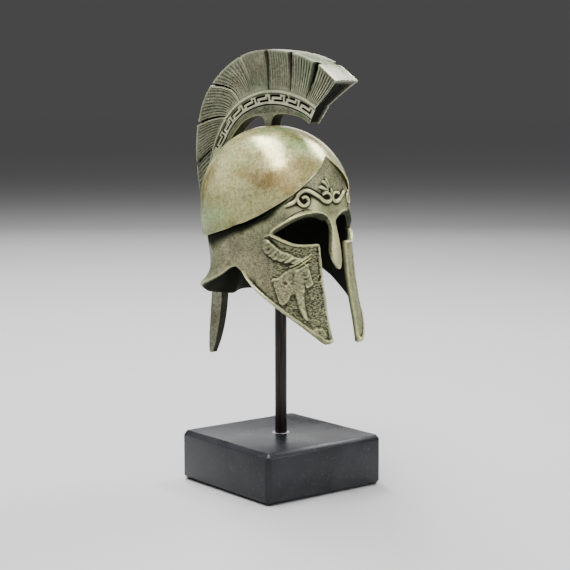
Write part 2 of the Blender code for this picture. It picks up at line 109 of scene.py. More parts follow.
def store(obj, **masks):
    """Keeps one number per point on the mesh under each name, for its material to read."""
    for name, values in masks.items():
        layer = obj.data.attributes.new(name, 'FLOAT', 'POINT')
        layer.data.foreach_set("value", np.asarray(values, dtype=np.float32))


def flat_grid(name, columns, rows):
    """A flat grid, and the column and the row that each of its points is in."""
    bpy.ops.object.select_all(action='DESELECT')
    bpy.ops.mesh.primitive_grid_add(x_subdivisions=columns - 1, y_subdivisions=rows - 1, size=2.0)
    grid = added(name)
    across, up = (points_of(grid)[:, :2].T + 1.0) / 2.0
    return grid, np.rint(across * (columns - 1)).astype(int), np.rint(up * (rows - 1)).astype(int)


def outward(obj, weld=None):
    """Turns every face outward, after joining points that lie within the weld distance."""
    select_only(obj)
    bpy.ops.object.mode_set(mode='EDIT')
    bpy.ops.mesh.select_all(action='SELECT')
    if weld:
        bpy.ops.mesh.remove_doubles(threshold=weld)
    bpy.ops.mesh.normals_make_consistent(inside=False)
    bpy.ops.object.mode_set(mode='OBJECT')


def finish_piece(obj, material, slot, *nodes, smooth=35):
    """Shades the piece, gives it its material, hangs it from the root body and hides its solids."""
    select_only(obj)
    bpy.ops.object.shade_smooth_by_angle(angle=radians(smooth))
    obj.data.materials.clear()
    obj.data.materials.append(material)
    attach(obj, "root")
    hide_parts(*nodes)
    print(obj.name, len(obj.data.polygons), "faces")


# %% [markdown]
# ## Finishes
# Old bronze isn't one colour. The casting is olive, with clouds of tan and of green where the
# patina took differently, fine dark specks, dark wax left in recesses, and paler metal where
# hands rub the raised edges. Painted shade and painted highlights ride on the same masks: dark
# paint where shade falls under lips, inside the shell and in deep cuts, and pale paint where light
# catches an upper edge or a bead. What follows the shape comes from numbers stored on the mesh:
# one for dark wax and painted shade, one for wear and painted highlights, `stipple` for punched
# ground, `verdigris` for green clouds and `heat` for brown ones. A mesh without one of them
# reads 0. One node group mixes all of this, and each casting gives it its own colours.


# %% A small kit for shader nodes
def add_node(tree, kind, **settings):
    node = tree.nodes.new(kind)
    for key, value in settings.items():
        setattr(node, key, value)
    return node


def plug(tree, node, values):
    """Sets a node's inputs by name or number: a socket is linked, anything else is a value."""
    for key, value in values.items():
        if isinstance(value, bpy.types.NodeSocket):
            tree.links.new(value, node.inputs[key])
        else:
            node.inputs[key].default_value = value
    return node


def noise(tree, vector, scale, detail, roughness, distortion=0.0):
    """A noise whose scale is in cells per metre."""
    node = add_node(tree, "ShaderNodeTexNoise")
    plug(tree, node, {"Vector": vector, "Scale": scale, "Detail": detail,
                      "Roughness": roughness, "Distortion": distortion})
    return node.outputs["Fac"]


def remap(tree, value, low, high, out_low=0.0, out_high=1.0):
    node = add_node(tree, "ShaderNodeMapRange", clamp=True, interpolation_type='SMOOTHSTEP')
    plug(tree, node, {"Value": value, "From Min": low, "From Max": high,
                      "To Min": out_low, "To Max": out_high})
    return node.outputs["Result"]


def blend(tree, share, first, second):
    node = add_node(tree, "ShaderNodeMix", data_type='RGBA')
    plug(tree, node, {0: share, 6: first, 7: second})
    return node.outputs[2]


def maths(tree, operation, first, second):
    node = add_node(tree, "ShaderNodeMath", operation=operation)
    return plug(tree, node, {0: first, 1: second}).outputs[0]


def times(tree, first, second):
    return maths(tree, 'MULTIPLY', first, second)


def plus(tree, first, second):
    return maths(tree, 'ADD', first, second)


def mapped(tree, vector, **settings):
    """The vector, shifted or stretched."""
    node = add_node(tree, "ShaderNodeMapping")
    return plug(tree, node, {"Vector": vector, **settings}).outputs["Vector"]


def axes(tree, vector):
    return plug(tree, add_node(tree, "ShaderNodeSeparateXYZ"), {"Vector": vector}).outputs


def bump(tree, height, strength, distance):
    node = add_node(tree, "ShaderNodeBump")
    plug(tree, node, {"Strength": strength, "Distance": distance, "Height": height})
    return node.outputs["Normal"]


def texture_place(tree, kind="Object"):
    return add_node(tree, "ShaderNodeTexCoord").outputs[kind]


def new_material(name):
    """A material with its node tree and its Principled shader."""
    mat = bpy.data.materials.new(name)
    mat.use_nodes = True
    return mat, mat.node_tree, mat.node_tree.nodes["Principled BSDF"]


def new_group(name, inputs, outputs):
    tree = bpy.data.node_groups.new(name, 'ShaderNodeTree')
    for label, kind in inputs:
        tree.interface.new_socket(name=label, in_out='INPUT', socket_type=kind)
    for label, kind in outputs:
        tree.interface.new_socket(name=label, in_out='OUTPUT', socket_type=kind)
    return tree, add_node(tree, "NodeGroupInput"), add_node(tree, "NodeGroupOutput")


COLOUR, NUMBER, VECTOR = 'NodeSocketColor', 'NodeSocketFloat', 'NodeSocketVector'

# %% [markdown]
# The group starts from the olive ground and lays one colour after another over it, each with its
# own share at every place; the last two are the pale of wear and painted highlights and the dark of
# wax and painted shade. It also puts out a roughness, a height, and how much a place shines, which
# is least under wax and painted shade, so painted shade also loses its reflections. The specks and
# the pores share one noise, so a dark pore is also a real dent in the bump.


# %% The patina group
COLOURS = ("Olive", "Tan", "Green", "Dark", "Pale")
MASKS = ("Recess", "Rubbed", "Stipple", "Verdigris", "Heat")


def build_patina():
    tree, inside, outside = new_group(
        "cast patina",
        [("Vector", VECTOR), *((label, COLOUR) for label in COLOURS),
         *((label, NUMBER) for label in (*MASKS, "Speckle", "Roughness"))],
        [("Color", COLOUR), ("Roughness", NUMBER), ("Height", NUMBER), ("Shine", NUMBER)])
    given = inside.outputs
    place = given["Vector"]
    broad = noise(tree, place, 38.0, 2.0, 0.5, 0.6)
    middle = noise(tree, place, 95.0, 5.0, 0.62, 0.3)
    drift = noise(tree, mapped(tree, place, Location=(0.31, 0.17, 0.44)), 52.0, 3.0, 0.55, 0.5)
    pores = noise(tree, place, 1500.0, 4.0, 0.65)
    sand = noise(tree, place, 600.0, 5.0, 0.7)
    punches = noise(tree, mapped(tree, place, Scale=(0.62, 0.62, 1.9)), 1150.0, 3.0, 0.70)
    dots = remap(tree, punches, 0.36, 0.62)
    stained = times(tree, given["Verdigris"], remap(tree, middle, 0.3, 0.6, 0.5, 1.0))
    colour = given["Olive"]
    for label, share in (
            ("Tan", maths(tree, 'MAXIMUM', remap(tree, broad, 0.46, 0.68), given["Heat"])),
            ("Green", maths(tree, 'MAXIMUM', remap(tree, drift, 0.52, 0.74), stained)),
            ("Pale", remap(tree, middle, 0.35, 0.75, 0.0, 0.35)),
            ("Dark", times(tree, remap(tree, pores, 0.44, 0.31), given["Speckle"])),
            ("Dark", remap(tree, sand, 0.60, 0.38, 0.0, 0.45)),
            ("Pale", times(tree, remap(tree, pores, 0.56, 0.70, 0.0, 0.6), given["Speckle"])),
            ("Dark", times(tree, given["Stipple"], remap(tree, dots, 0.60, 0.0, 0.0, 0.90))),
            ("Pale", times(tree, given["Stipple"], remap(tree, dots, 0.55, 1.0, 0.0, 0.48))),
            ("Pale", times(tree, given["Rubbed"], remap(tree, middle, 0.3, 0.6, 0.6, 1.0))),
            ("Dark", given["Recess"])):
        colour = blend(tree, share, colour, given[label])

    rough = plus(tree, given["Roughness"], remap(tree, middle, 0.3, 0.7, -0.05, 0.08))
    rough = plus(tree, rough, times(tree, given["Recess"], 0.45))
    height = plus(tree, times(tree, pores, 0.5), times(tree, sand, 0.5))
    height = plus(tree, height, times(tree, times(tree, given["Stipple"], dots), 1.8))
    shine = maths(tree, 'SUBTRACT', 1.0, given["Recess"])
    plug(tree, outside, {"Color": colour, "Roughness": rough, "Height": height, "Shine": shine})
    return tree


PATINA = build_patina()
print("patina group of", len(PATINA.nodes), "nodes")

# %% [markdown]
# The dome is the palest casting and the most rubbed one; the face piece and the crest are darker.


# %% Castings that wear the patina
def cast_material(name, colours, speckle, roughness, bumpiness, metallic, coat):
    mat, tree, shader = new_material(name)
    patina = add_node(tree, "ShaderNodeGroup", node_tree=PATINA)
    plug(tree, patina, {"Vector": texture_place(tree), "Speckle": speckle, "Roughness": roughness})
    for label, colour in zip(COLOURS, colours):
        patina.inputs[label].default_value = (*colour, 1.0)
    for label in MASKS:
        mask = add_node(tree, "ShaderNodeAttribute", attribute_name=label.lower())
        plug(tree, patina, {label: mask.outputs["Fac"]})
    made = patina.outputs
    plug(tree, shader, {"Base Color": made["Color"], "Roughness": made["Roughness"],
                        "Metallic": times(tree, made["Shine"], metallic),
                        "Coat Weight": times(tree, made["Shine"], coat), "Coat Roughness": 0.28,
                        "Specular IOR Level": 0.10,
                        "Normal": bump(tree, made["Height"], bumpiness, 0.15 * MM)})
    return mat


# The five colours of each casting are in the order of COLOURS.
DOME_BRONZE = cast_material(
    "waxed_dome_bronze",
    ((0.710, 0.675, 0.290), (0.400, 0.280, 0.085), (0.330, 0.560, 0.215), (0.055, 0.048, 0.018),
     (0.820, 0.790, 0.470)),
    speckle=0.95, roughness=0.26, bumpiness=0.30, metallic=0.50, coat=0.50)
FACE_BRONZE = cast_material(
    "waxed_face_bronze",
    ((0.215, 0.222, 0.130), (0.285, 0.250, 0.165), (0.152, 0.240, 0.110), (0.007, 0.008, 0.004),
     (0.720, 0.720, 0.365)),
    speckle=0.80, roughness=0.36, bumpiness=0.70, metallic=0.45, coat=0.25)
CREST_BRONZE = cast_material(
    "waxed_crest_bronze",
    ((0.118, 0.124, 0.080), (0.135, 0.116, 0.072), (0.086, 0.138, 0.062), (0.004, 0.005, 0.003),
     (0.620, 0.640, 0.440)),
    speckle=0.70, roughness=0.36, bumpiness=0.55, metallic=0.45, coat=0.25)
print("castings", DOME_BRONZE.name, FACE_BRONZE.name, CREST_BRONZE.name)

# %% [markdown]
# ## The shape that the shell shares
# The wall below the dome is a stack of rounded sections: a half width, a reach to the front and
# to the back, and a number that says how square the corners are. A place on it is given by `s`,
# the distance round the middle section from the front centre line, and by its height `z`, both in
# millimetres. The same few rows drive the solid, so the fine surface lies on it.

# %% Curves read from short tables
SHELL_Y = 3.8
DOME_Z, DOME_RISE = 141.7, 37.2
DOME_HALF_WIDTH, DOME_FRONT, DOME_BACK = 33.2, 40.3, 39.6
WALL = 2.4
REFERENCE_Z = 120.0
# Height, half width, reach to the front, reach to the back, squareness of the corners.
SKIRT = (
    (72, 32.6, 47.0, 29.0, 2.66), (84, 32.4, 44.3, 29.0, 2.66), (94, 32.0, 42.0, 28.8, 2.66),
    (104, 31.4, 39.9, 28.2, 2.66), (114, 31.0, 38.4, 28.0, 2.66), (122, 30.8, 37.6, 29.4, 2.66),
    (130, 31.0, 37.2, 33.0, 2.64), (142, 31.4, 35.8, 35.6, 2.50), (150, 30.8, 35.0, 35.6, 2.40),
    (165, 26.0, 31.9, 31.0, 2.10),
)


def smooth_reader(rows, column, spread):
    """A curve through one column of a short table, with its corners eased over a spread."""
    rows = np.array(rows, dtype=float)
    fine = np.arange(rows[0, 0] - 4 * spread, rows[-1, 0] + 4 * spread, spread / 8.0)
    reach = np.arange(-24, 25)
    bell = np.exp(-0.5 * (reach / 8.0) ** 2)
    raw = np.pad(np.interp(fine, rows[:, 0], rows[:, column]), 24, mode='edge')
    eased = np.convolve(raw, bell / bell.sum(), 'valid')
    return lambda at: np.interp(at, fine, eased)


half_at, front_at, back_at, corner_at = (smooth_reader(SKIRT, k, 3.0) for k in (1, 2, 3, 4))


def section(angle, half, front, back, corner):
    """Points (x, y) of a section; angle 0 is the front, and a positive angle is the -X side."""
    power = 2.0 / corner
    across, ahead = np.sin(angle), np.cos(angle)
    reach = np.where(ahead > 0, front, back)
    x = -half * np.sign(across) * np.abs(across) ** power
    y = SHELL_Y - reach * np.sign(ahead) * np.abs(ahead) ** power
    return x, y


def distance_along(path):
    """How far along a path each of its points is."""
    return np.concatenate([[0.0], np.cumsum(np.hypot(*np.diff(path, axis=0).T))])


ROUND_ANGLE = np.linspace(0.0, pi, 1441)
middle_section = section(ROUND_ANGLE, half_at(REFERENCE_Z), front_at(REFERENCE_Z),
                         back_at(REFERENCE_Z), corner_at(REFERENCE_Z))
ROUND_S = distance_along(np.stack(middle_section, axis=1))
HALF_ROUND = ROUND_S[-1]


def station_angle(s):
    return np.sign(s) * np.interp(np.abs(s), ROUND_S, ROUND_ANGLE)


print("half way round the shell is %.1f mm" % HALF_ROUND)

# %% [markdown]
# The dome's lower edge and the skirt's rim are curves over `s`. The rim runs from the tip of the
# cheek guard up its long edge, over the arch under the ear, and along the neck guard, whose lip
# turns outward.

# %% Edges of the dome and the skirt
# Rows of s and z; the lip's rows are s and how far it turns outward.
DOME_EDGE = ((0, 164.2), (3, 163.6), (6.5, 161.7), (12.3, 157.9), (19.5, 151.8), (24.8, 146.7),
             (31.4, 141.3), (38.1, 136.7), (46, 133.0), (60, 130.0), (75.5, 125.3), (106.4, 122.8))
RIM = ((0, 76.6), (9.6, 76.6), (12.6, 75.4), (15, 76.6), (18.2, 79.3), (21.6, 82.1),
       (27.6, 87.2), (33.3, 92.0), (40.2, 97.4), (46.2, 102.2), (50.2, 106.4), (52.6, 109.8),
       (56, 112.0), (60, 110.8), (62.2, 109.2), (65.1, 107.2), (70.5, 104.6), (81.5, 101.0),
       (91.5, 96.9), (106.4, 94.2))
LIP = ((0, 0.0), (59, 0.0), (71, 3.0), (78, 4.6), (85.5, 4.6), (106.4, 3.6))
LIP_HEIGHT = 9.0
NASAL_REACH, NASAL_ROOT, NASAL_LENGTH, NASAL_SPREAD = 1.9, 134.0, 24.0, 8.0

edge_at = smooth_reader(((-3, 163.6), *DOME_EDGE), 1, 1.2)
rim_at = smooth_reader(RIM, 1, 0.6)
lip_at = smooth_reader(LIP, 1, 2.0)
print("dome edge %.1f mm high in front, rim %.1f mm high at the cheek" % (edge_at(0), rim_at(0)))

# %% [markdown]
# Nearly every detail below fades in or out over a stretch of the surface, and `ramp` does that.
# Its last two numbers are where the change begins and where it is complete, mostly in mm.
# `round_back` gives anything with a round section its height, and `grain` makes soft bumps.


# %% Ramps, round backs and grain
def clamp(value):
    return np.clip(value, 0.0, 1.0)


def round_back(across):
    """Height of a round back: 1 in the middle, where across is 0, and 0 from 1 on."""
    return np.sqrt(1.0 - clamp(across) ** 2)


def ramp(value, low, high):
    """0 at low, 1 at high and beyond, with a soft start and end."""
    t = clamp((value - low) / (high - low))
    return t * t * (3.0 - 2.0 * t)


def grain(s, z, cell, seed):
    """Soft random bumps of about one cell across, between -1 and 1."""
    lattice = np.random.RandomState(seed).uniform(-1.0, 1.0, (256, 256))
    u, v = s / cell + 128.0, z / cell
    i, j = np.floor(u).astype(int), np.floor(v).astype(int)
    a, b = u - i, v - j
    a, b = a * a * (3 - 2 * a), b * b * (3 - 2 * b)
    corner = lambda di, dj: lattice[(i + di) % 256, (j + dj) % 256]
    return ((corner(0, 0) * (1 - a) + corner(1, 0) * a) * (1 - b)
            + (corner(0, 1) * (1 - a) + corner(1, 1) * a) * b)


print("a ramp from 0 to 4 mm at each mm", np.round(ramp(np.arange(5.0), 0.0, 4.0), 2).tolist())

# %% [markdown]
# With these, the wall below the dome gives a point and a direction for any place on it.


# %% Places and directions of the skirt
def skirt_surface(s, z):
    """Points of the wall below the dome, in mm."""
    lip = lip_at(np.abs(s)) * clamp(1.0 - (z - rim_at(np.abs(s))) / LIP_HEIGHT) ** 2
    x, y = section(station_angle(s), half_at(z) + lip, front_at(z), back_at(z) + lip,
                   corner_at(z))
    near = 0.5 + 0.5 * np.cos(pi * clamp(np.abs(x) / NASAL_SPREAD))
    y = y - NASAL_REACH * clamp((NASAL_ROOT - z) / NASAL_LENGTH) * near
    return np.stack([x, y, z], axis=-1)


def skirt_normals(s, z):
    step = 0.5
    along = skirt_surface(s + step, z) - skirt_surface(s - step, z)
    up = skirt_surface(s, z + step) - skirt_surface(s, z - step)
    normal = np.cross(up, along)
    normal /= np.linalg.norm(normal, axis=-1, keepdims=True) + 1e-12
    centre = np.stack([np.zeros_like(s), np.full_like(s, SHELL_Y), z], axis=-1)
    inward = np.sum(normal * (skirt_surface(s, z) - centre), axis=-1) < 0
    normal[inward] *= -1.0
    return normal


# %% [markdown]
# ## The dome
# On the real casting the dome stands proud of the face piece like a cap, with a rounded lip and a
# dark gap under it. A sphere primitive has exactly the right net: rings of points from pole to
# pole. Each ring is moved to its place on a profile that runs from the crown down the outside,
# round the lip, in under it, and back up the inside, so the piece is closed.

# %% The dome's surface
LIP_RADIUS = 0.55
UNDERCUT_DEPTH, UNDERCUT_RISE = 3.2, 0.8
CROWN_THICKNESS = 3.0
FOOT_NARROWING = 0.12             # how fast the dome draws in again below its widest place


def dome_surface(s, z, inset=0.0):
    up = (z - DOME_Z) / (DOME_RISE - inset)
    level = np.where(up > 0, round_back(up), 1.0 - FOOT_NARROWING * up * up)
    x, y = section(station_angle(s), (DOME_HALF_WIDTH - inset) * level,
                   (DOME_FRONT - inset) * level, (DOME_BACK - inset) * level, 2.0)
    return np.stack([x, y, z], axis=-1)


def down_the_dome(share, lowest, rise):
    """Height at a share of the way, measured along the curve, from the crown to the lowest."""
    quarter = rise * pi / 2
    full = np.where(lowest < DOME_Z, quarter + DOME_Z - lowest,
                    rise * np.arccos(np.clip((lowest - DOME_Z) / rise, -1.0, 1.0)))
    walked = share * full
    return np.where(walked < quarter, DOME_Z + rise * np.cos(np.minimum(walked, quarter) / rise),
                    DOME_Z - (walked - quarter))


print("crown at %.1f mm" % down_the_dome(0.0, DOME_Z, DOME_RISE))

# %% [markdown]
# Green and brown clouds lie where they do on the real casting. Each is a soft oval.

# %% Clouds of colour
DOME_CLOUDS = (
    # kind, s and z of its middle, reach in s and in z, strength
    ("verdigris", 74.0, 134.0, 18.0, 8.0, 0.95), ("verdigris", 84.0, 146.0, 8.0, 6.0, 0.45),
    ("verdigris", 18.0, 170.5, 13.0, 5.0, 0.85), ("verdigris", 50.0, 177.0, 18.0, 2.5, 0.70),
    ("verdigris", -60.0, 150.0, 22.0, 10.0, 0.6), ("heat", 57.0, 165.0, 7.0, 5.0, 0.95),
    ("heat", 50.0, 158.0, 7.0, 5.0, 0.65), ("heat", 33.0, 146.0, 16.0, 4.0, 0.25),
    ("heat", 66.0, 153.0, 9.0, 6.0, 0.35), ("heat", 92.0, 152.0, 8.0, 8.0, 0.5),
    ("heat", -30.0, 165.0, 18.0, 7.0, 0.7),
)
FACE_CLOUDS = (
    ("verdigris", 90.0, 113.0, 9.0, 9.0, 0.75), ("verdigris", 0.0, 152.0, 7.0, 3.0, 0.35),
    ("verdigris", 22.0, 152.5, 5.0, 4.0, 0.5), ("verdigris", -13.0, 96.0, 9.0, 20.0, 0.5),
    ("heat", 82.0, 103.5, 9.0, 4.0, 0.8), ("heat", 30.0, 119.0, 10.0, 3.0, 0.5),
    ("heat", -95.0, 104.0, 12.0, 7.0, 0.6),
)


def clouds(table, s, z):
    """How strong the clouds of each kind are at every place."""
    shades = {"verdigris": np.zeros(len(s)), "heat": np.zeros(len(s))}
    for kind, at_s, at_z, reach_s, reach_z, strength in table:
        bell = np.exp(-((s - at_s) / reach_s) ** 2 - ((z - at_z) / reach_z) ** 2)
        shades[kind] = np.maximum(shades[kind], strength * bell)
    return shades


print("clouds on the dome", len(DOME_CLOUDS), "and on the face", len(FACE_CLOUDS))

# %% [markdown]
# Four parts make up the profile: the outside, the round lip, the underside and the inside. The
# underside and the inside are painted dark as shade, and a lighter painted shade lies round the
# crest's foot on the crown and in a soft, patchy strip above the lip at the back. The lip is
# rubbed pale, most of all in front.

# %% Shape the dome
OUTSIDE, ROUND_LIP, UNDERSIDE = 0.66, 0.72, 0.78      # shares of the profile where each part ends
LIP_RUB_PAST, LIP_RUB_REACH = 0.01, 0.022             # shares: the lip is rubbed round this place
CREST_FOOT_Y, CREST_FOOT_REACH = 5.0, (6.0, 7.5)      # middle and reach of the painted shade on the crown


def build_dome():
    bpy.ops.object.select_all(action='DESELECT')
    bpy.ops.mesh.primitive_uv_sphere_add(segments=320, ring_count=150, radius=1.0)
    dome = added("helmet_dome")
    ball = points_of(dome)
    turn = np.arctan2(-ball[:, 0], -ball[:, 1])
    along = np.arccos(np.clip(ball[:, 2], -1.0, 1.0)) / pi
    s = np.sign(turn) * np.interp(np.abs(turn), ROUND_ANGLE, ROUND_S)
    edge = edge_at(np.abs(s))
    start = edge + LIP_RADIUS

    outer = dome_surface(s, down_the_dome(along / OUTSIDE, start, DOME_RISE))
    curl = 0.5 * pi * clamp((along - OUTSIDE) / (ROUND_LIP - OUTSIDE))
    at_lip, low = dome_surface(s, start), dome_surface(s, start, LIP_RADIUS)
    lip = at_lip + (low - at_lip) * (1.0 - np.cos(curl))[:, None]
    lip[:, 2] -= LIP_RADIUS * np.sin(curl)
    tuck = clamp((along - ROUND_LIP) / (UNDERSIDE - ROUND_LIP))
    deep = dome_surface(s, start, UNDERCUT_DEPTH)
    under = low + (deep - low) * tuck[:, None]
    under[:, 2] = edge + UNDERCUT_RISE * tuck
    back_up = clamp((1.0 - along) / (1.0 - UNDERSIDE))
    inner = dome_surface(s, down_the_dome(back_up, edge + UNDERCUT_RISE,
                                          DOME_RISE - CROWN_THICKNESS), CROWN_THICKNESS)
    parts = ((along <= OUTSIDE, outer), (along <= ROUND_LIP, lip), (along <= UNDERSIDE, under))
    shaped = inner
    for mask, part in reversed(parts):
        shaped = np.where(mask[:, None], part, shaped)
    set_points(dome, shaped * MM)
    outward(dome)
    near_lip = clamp(1.0 - np.abs(along - OUTSIDE - LIP_RUB_PAST) / LIP_RUB_REACH)
    forward = ramp(np.abs(s), 34.0, 20.0)
    # Painted shade: a patchy strip above the lip behind the face, and a patch where the crest's holder
    # shades the crown.
    patchy = 0.40 + 0.25 * grain(s, along, 7.0, 31)
    towards_lip = (1.0 - forward) * ramp(shaped[:, 2] - edge, 9.0, 0.0) * patchy
    reach_x, reach_y = CREST_FOOT_REACH
    foot = np.hypot(shaped[:, 0] / reach_x, (shaped[:, 1] - CREST_FOOT_Y) / reach_y)
    foot = 0.55 * ramp(foot, 1.3, 0.6) * (along < OUTSIDE)
    foot = np.maximum(foot, towards_lip * (along < ROUND_LIP))
    # The underside and the inside are painted dark as shade.
    store(dome, rubbed=(0.25 + 0.5 * forward) * near_lip * (along < ROUND_LIP),
          recess=np.maximum(foot, clamp((along - ROUND_LIP + 0.02) / 0.02)),
          **clouds(DOME_CLOUDS, s, shaped[:, 2]))
    return dome


dome = build_dome()
finish_piece(dome, DOME_BRONZE, "helmet_shell", "helmet_shell")

# %% [markdown]
# ## The face piece: openings
# The eye openings and the slot between the cheek guards are one outline on each side. It is
# drawn in `s` and `z` from the eye's outer corner over the upper lid, down the nasal, and back up
# the edge of the cheek guard. A smooth curve goes through the points of each stretch.

# %% Outline of one side's opening
UPPER_LID = ((34.6, 127.8), (32.6, 129.3), (29.8, 131.0), (24.9, 133.7), (20.0, 135.6),
             (15.2, 136.6), (9.7, 136.6), (5.3, 135.1), (3.2, 133.6), (2.45, 131.8))
NASAL_SIDE = ((2.45, 131.8), (2.55, 129.6), (2.9, 127.0), (3.5, 123.5), (4.1, 119.6),
              (4.1, 117.6), (3.1, 114.2), (1.2, 111.3), (0.0, 110.3))
CHEEK_EDGE = ((9.2, 70.0), (9.9, 79.0), (10.4, 88.0), (10.1, 98.0), (10.1, 112.0), (10.4, 121.0))
LOWER_LID = ((10.4, 121.0), (10.7, 122.7), (12.2, 123.1), (15.0, 123.0), (18.8, 123.0),
             (23.8, 123.5), (29.3, 125.5), (32.6, 127.0), (34.6, 127.8))


def smooth_path(points, steps=8):
    """A Catmull-Rom curve through points, given as rows of numbers."""
    rows = np.array(points, dtype=float)
    rows = np.vstack([2 * rows[0] - rows[1], rows, 2 * rows[-1] - rows[-2]])
    t = np.linspace(0.0, 1.0, steps, endpoint=False)[:, None]
    curve = []
    for a, b, c, d in zip(rows, rows[1:], rows[2:], rows[3:]):
        curve.append(0.5 * (2 * b + (c - a) * t + (2 * a - 5 * b + 4 * c - d) * t ** 2
                            + (3 * b - a - 3 * c + d) * t ** 3))
    return np.vstack(curve + [rows[-2][None]])


OPENING = np.vstack([smooth_path(UPPER_LID)[:-1], smooth_path(NASAL_SIDE),
                     [[0.0, 70.0]], smooth_path(CHEEK_EDGE)[:-1], smooth_path(LOWER_LID)[:-1]])
OPENING_LOOP = np.vstack([OPENING, OPENING[:1]])


def inside(points, outline):
    """Which points lie within a closed outline, by counting the edges to their right."""
    x, y = points[:, 0], points[:, 1]
    count = np.zeros(len(points), dtype=int)
    for (x0, y0), (x1, y1) in zip(outline, np.roll(outline, -1, axis=0)):
        crosses = (y0 > y) != (y1 > y)
        at = x0 + (y - y0) * (x1 - x0) / (y1 - y0 if y1 != y0 else 1e-9)
        count += crosses & (x < at)
    return count % 2 == 1


def nearest(points, path):
    """For each point: distance to a path, the nearest point, and the share of the way along."""
    a, b = path[:-1], path[1:]
    run = b - a
    length = np.linalg.norm(run, axis=1)
    walked = np.concatenate([[0.0], np.cumsum(length)])
    best = np.full(len(points), 1e9)
    where = np.zeros((len(points), 2))
    share = np.zeros(len(points))
    for k in range(len(a)):
        t = clamp(((points - a[k]) @ run[k]) / max(length[k] ** 2, 1e-12))
        spot = a[k] + t[:, None] * run[k]
        distance = np.hypot(*(points - spot).T)
        closer = distance < best
        best[closer], where[closer] = distance[closer], spot[closer]
        share[closer] = (walked[k] + t[closer] * length[k]) / walked[-1]
    return best, where, share


def rim_path(count):
    span = np.linspace(0.0, HALF_ROUND, count)
    return np.stack([span, rim_at(span)], axis=1)


print("opening outline of", len(OPENING), "points")

# %% [markdown]
# ## The face piece: relief
# The relief is a height over the plain wall. Bars are most of it: a bar follows a short path with
# a half width at each point and has a round back, like a roll of wax laid on the model before
# casting. Where bars meet, the higher one wins.


# %% Bars
FULL_HALF = 0.6                   # a bar with less half width than this is also lower


def bar(points, path, rise):
    """Height of a rounded bar along a path whose rows are s, z and half width."""
    curve = smooth_path(path)
    distance, _, share = nearest(points, curve[:, :2])
    run = distance_along(curve[:, :2])
    half = np.interp(share, run / run[-1], curve[:, 2])
    return rise * np.minimum(1.0, half / FULL_HALF) * round_back(distance / np.maximum(half, 1e-6))


# %% [markdown]
# The brow carries a scroll that unrolls from the centre over each eye into a volute, and a
# palmette of leaves over the nasal.

# %% Brow ornament
BROW = {
    "scroll": ((27.0, 141.2, 0.4), (25.0, 142.1, 0.9), (23.2, 143.0, 0.9), (21.6, 144.6, 0.9),
               (20.7, 146.5, 0.9), (18.9, 148.0, 1.0), (16.8, 148.5, 1.0), (14.5, 147.8, 1.0),
               (12.0, 146.5, 1.0), (9.0, 144.8, 1.0), (7.0, 143.4, 1.0), (4.3, 142.6, 1.0),
               (1.9, 143.0, 0.9), (0.9, 144.4, 0.7), (1.4, 146.0, 0.7), (3.5, 147.0, 0.7),
               (5.6, 147.0, 0.8), (6.8, 146.4, 0.6)),
    "volute": ((21.3, 144.9, 0.7), (20.9, 143.4, 0.8), (19.6, 141.8, 0.8), (18.0, 141.3, 0.8),
               (16.5, 141.9, 0.7), (15.7, 143.2, 0.7), (16.2, 144.8, 0.7), (17.4, 145.6, 0.6),
               (18.5, 145.1, 0.5)),
    "leaf_low": ((2.6, 148.1, 0.4), (5.6, 148.9, 0.8), (7.9, 149.7, 0.9), (9.8, 149.9, 0.3)),
    "leaf_middle": ((2.6, 148.8, 0.4), (4.2, 150.9, 0.8), (6.0, 152.1, 0.9), (7.7, 152.5, 0.3)),
    "leaf_high": ((1.6, 149.6, 0.4), (2.7, 151.6, 0.8), (3.7, 153.1, 0.8), (4.4, 154.2, 0.3)),
    "finial": ((0.0, 146.8, 0.5), (0.0, 148.0, 0.9), (0.0, 149.2, 0.3)),
}
BROW_RISE, LEAF_RISE = 0.95, 0.70


def brow_relief(points):
    return np.max([bar(points, path, LEAF_RISE if "leaf" in name else BROW_RISE)
                   for name, path in BROW.items()], axis=0)


print("bars on the brow", len(BROW))

# %% [markdown]
# Each cheek guard carries a worn, simple figure: a braced arm that comes down from behind the eye,
# a hand that holds a few straps, a cloak in two lobes, and one leg. Its broad parts are pads: an
# outline whose edge is rounded over a short distance. The ground round it is punched rough, and a
# column of deeper punch marks runs down beside the plain front border.

# %% Outlines of the cheek figure
PADS = {
    # name: (outline in s and z, rise, how far in from the edge the rounding reaches)
    "arm": (((41.2, 123.0), (38.8, 125.2), (35.9, 124.0), (33.2, 121.7), (30.3, 119.8),
             (28.1, 119.1), (25.2, 118.0), (22.2, 116.6), (21.0, 115.4), (23.9, 113.9),
             (26.8, 114.1), (30.8, 114.9), (35.0, 116.2), (38.8, 119.4)), 1.15, 1.3),
    "cloak_rear": (((35.4, 106.2), (32.0, 107.3), (29.7, 109.4), (27.1, 111.2), (24.4, 112.3),
                    (23.8, 109.0), (24.6, 104.0), (25.2, 99.9), (27.6, 99.0), (28.6, 96.6),
                    (31.4, 94.2), (32.8, 96.0), (33.3, 99.7), (34.0, 103.4)), 0.75, 0.5),
    "leg": (((25.0, 111.6), (22.4, 111.4), (20.6, 107.0), (20.4, 102.8), (21.2, 98.0),
             (21.3, 93.0), (20.9, 87.4), (22.8, 88.6), (24.3, 93.4), (25.0, 98.0), (25.7, 101.7),
             (25.8, 106.0)), 1.25, 1.7),
    "cloak_front": (((22.6, 110.9), (21.0, 112.4), (19.0, 112.5), (17.7, 110.5), (17.2, 107.3),
                     (16.2, 104.6), (17.6, 103.2), (19.8, 102.3), (20.6, 104.9)), 0.85, 0.6),
    "tip_boss": (((20.8, 82.4), (17.3, 83.6), (14.2, 82.8), (13.2, 78.5), (14.0, 76.0),
                  (17.0, 79.4)), 0.45, 0.8),
}
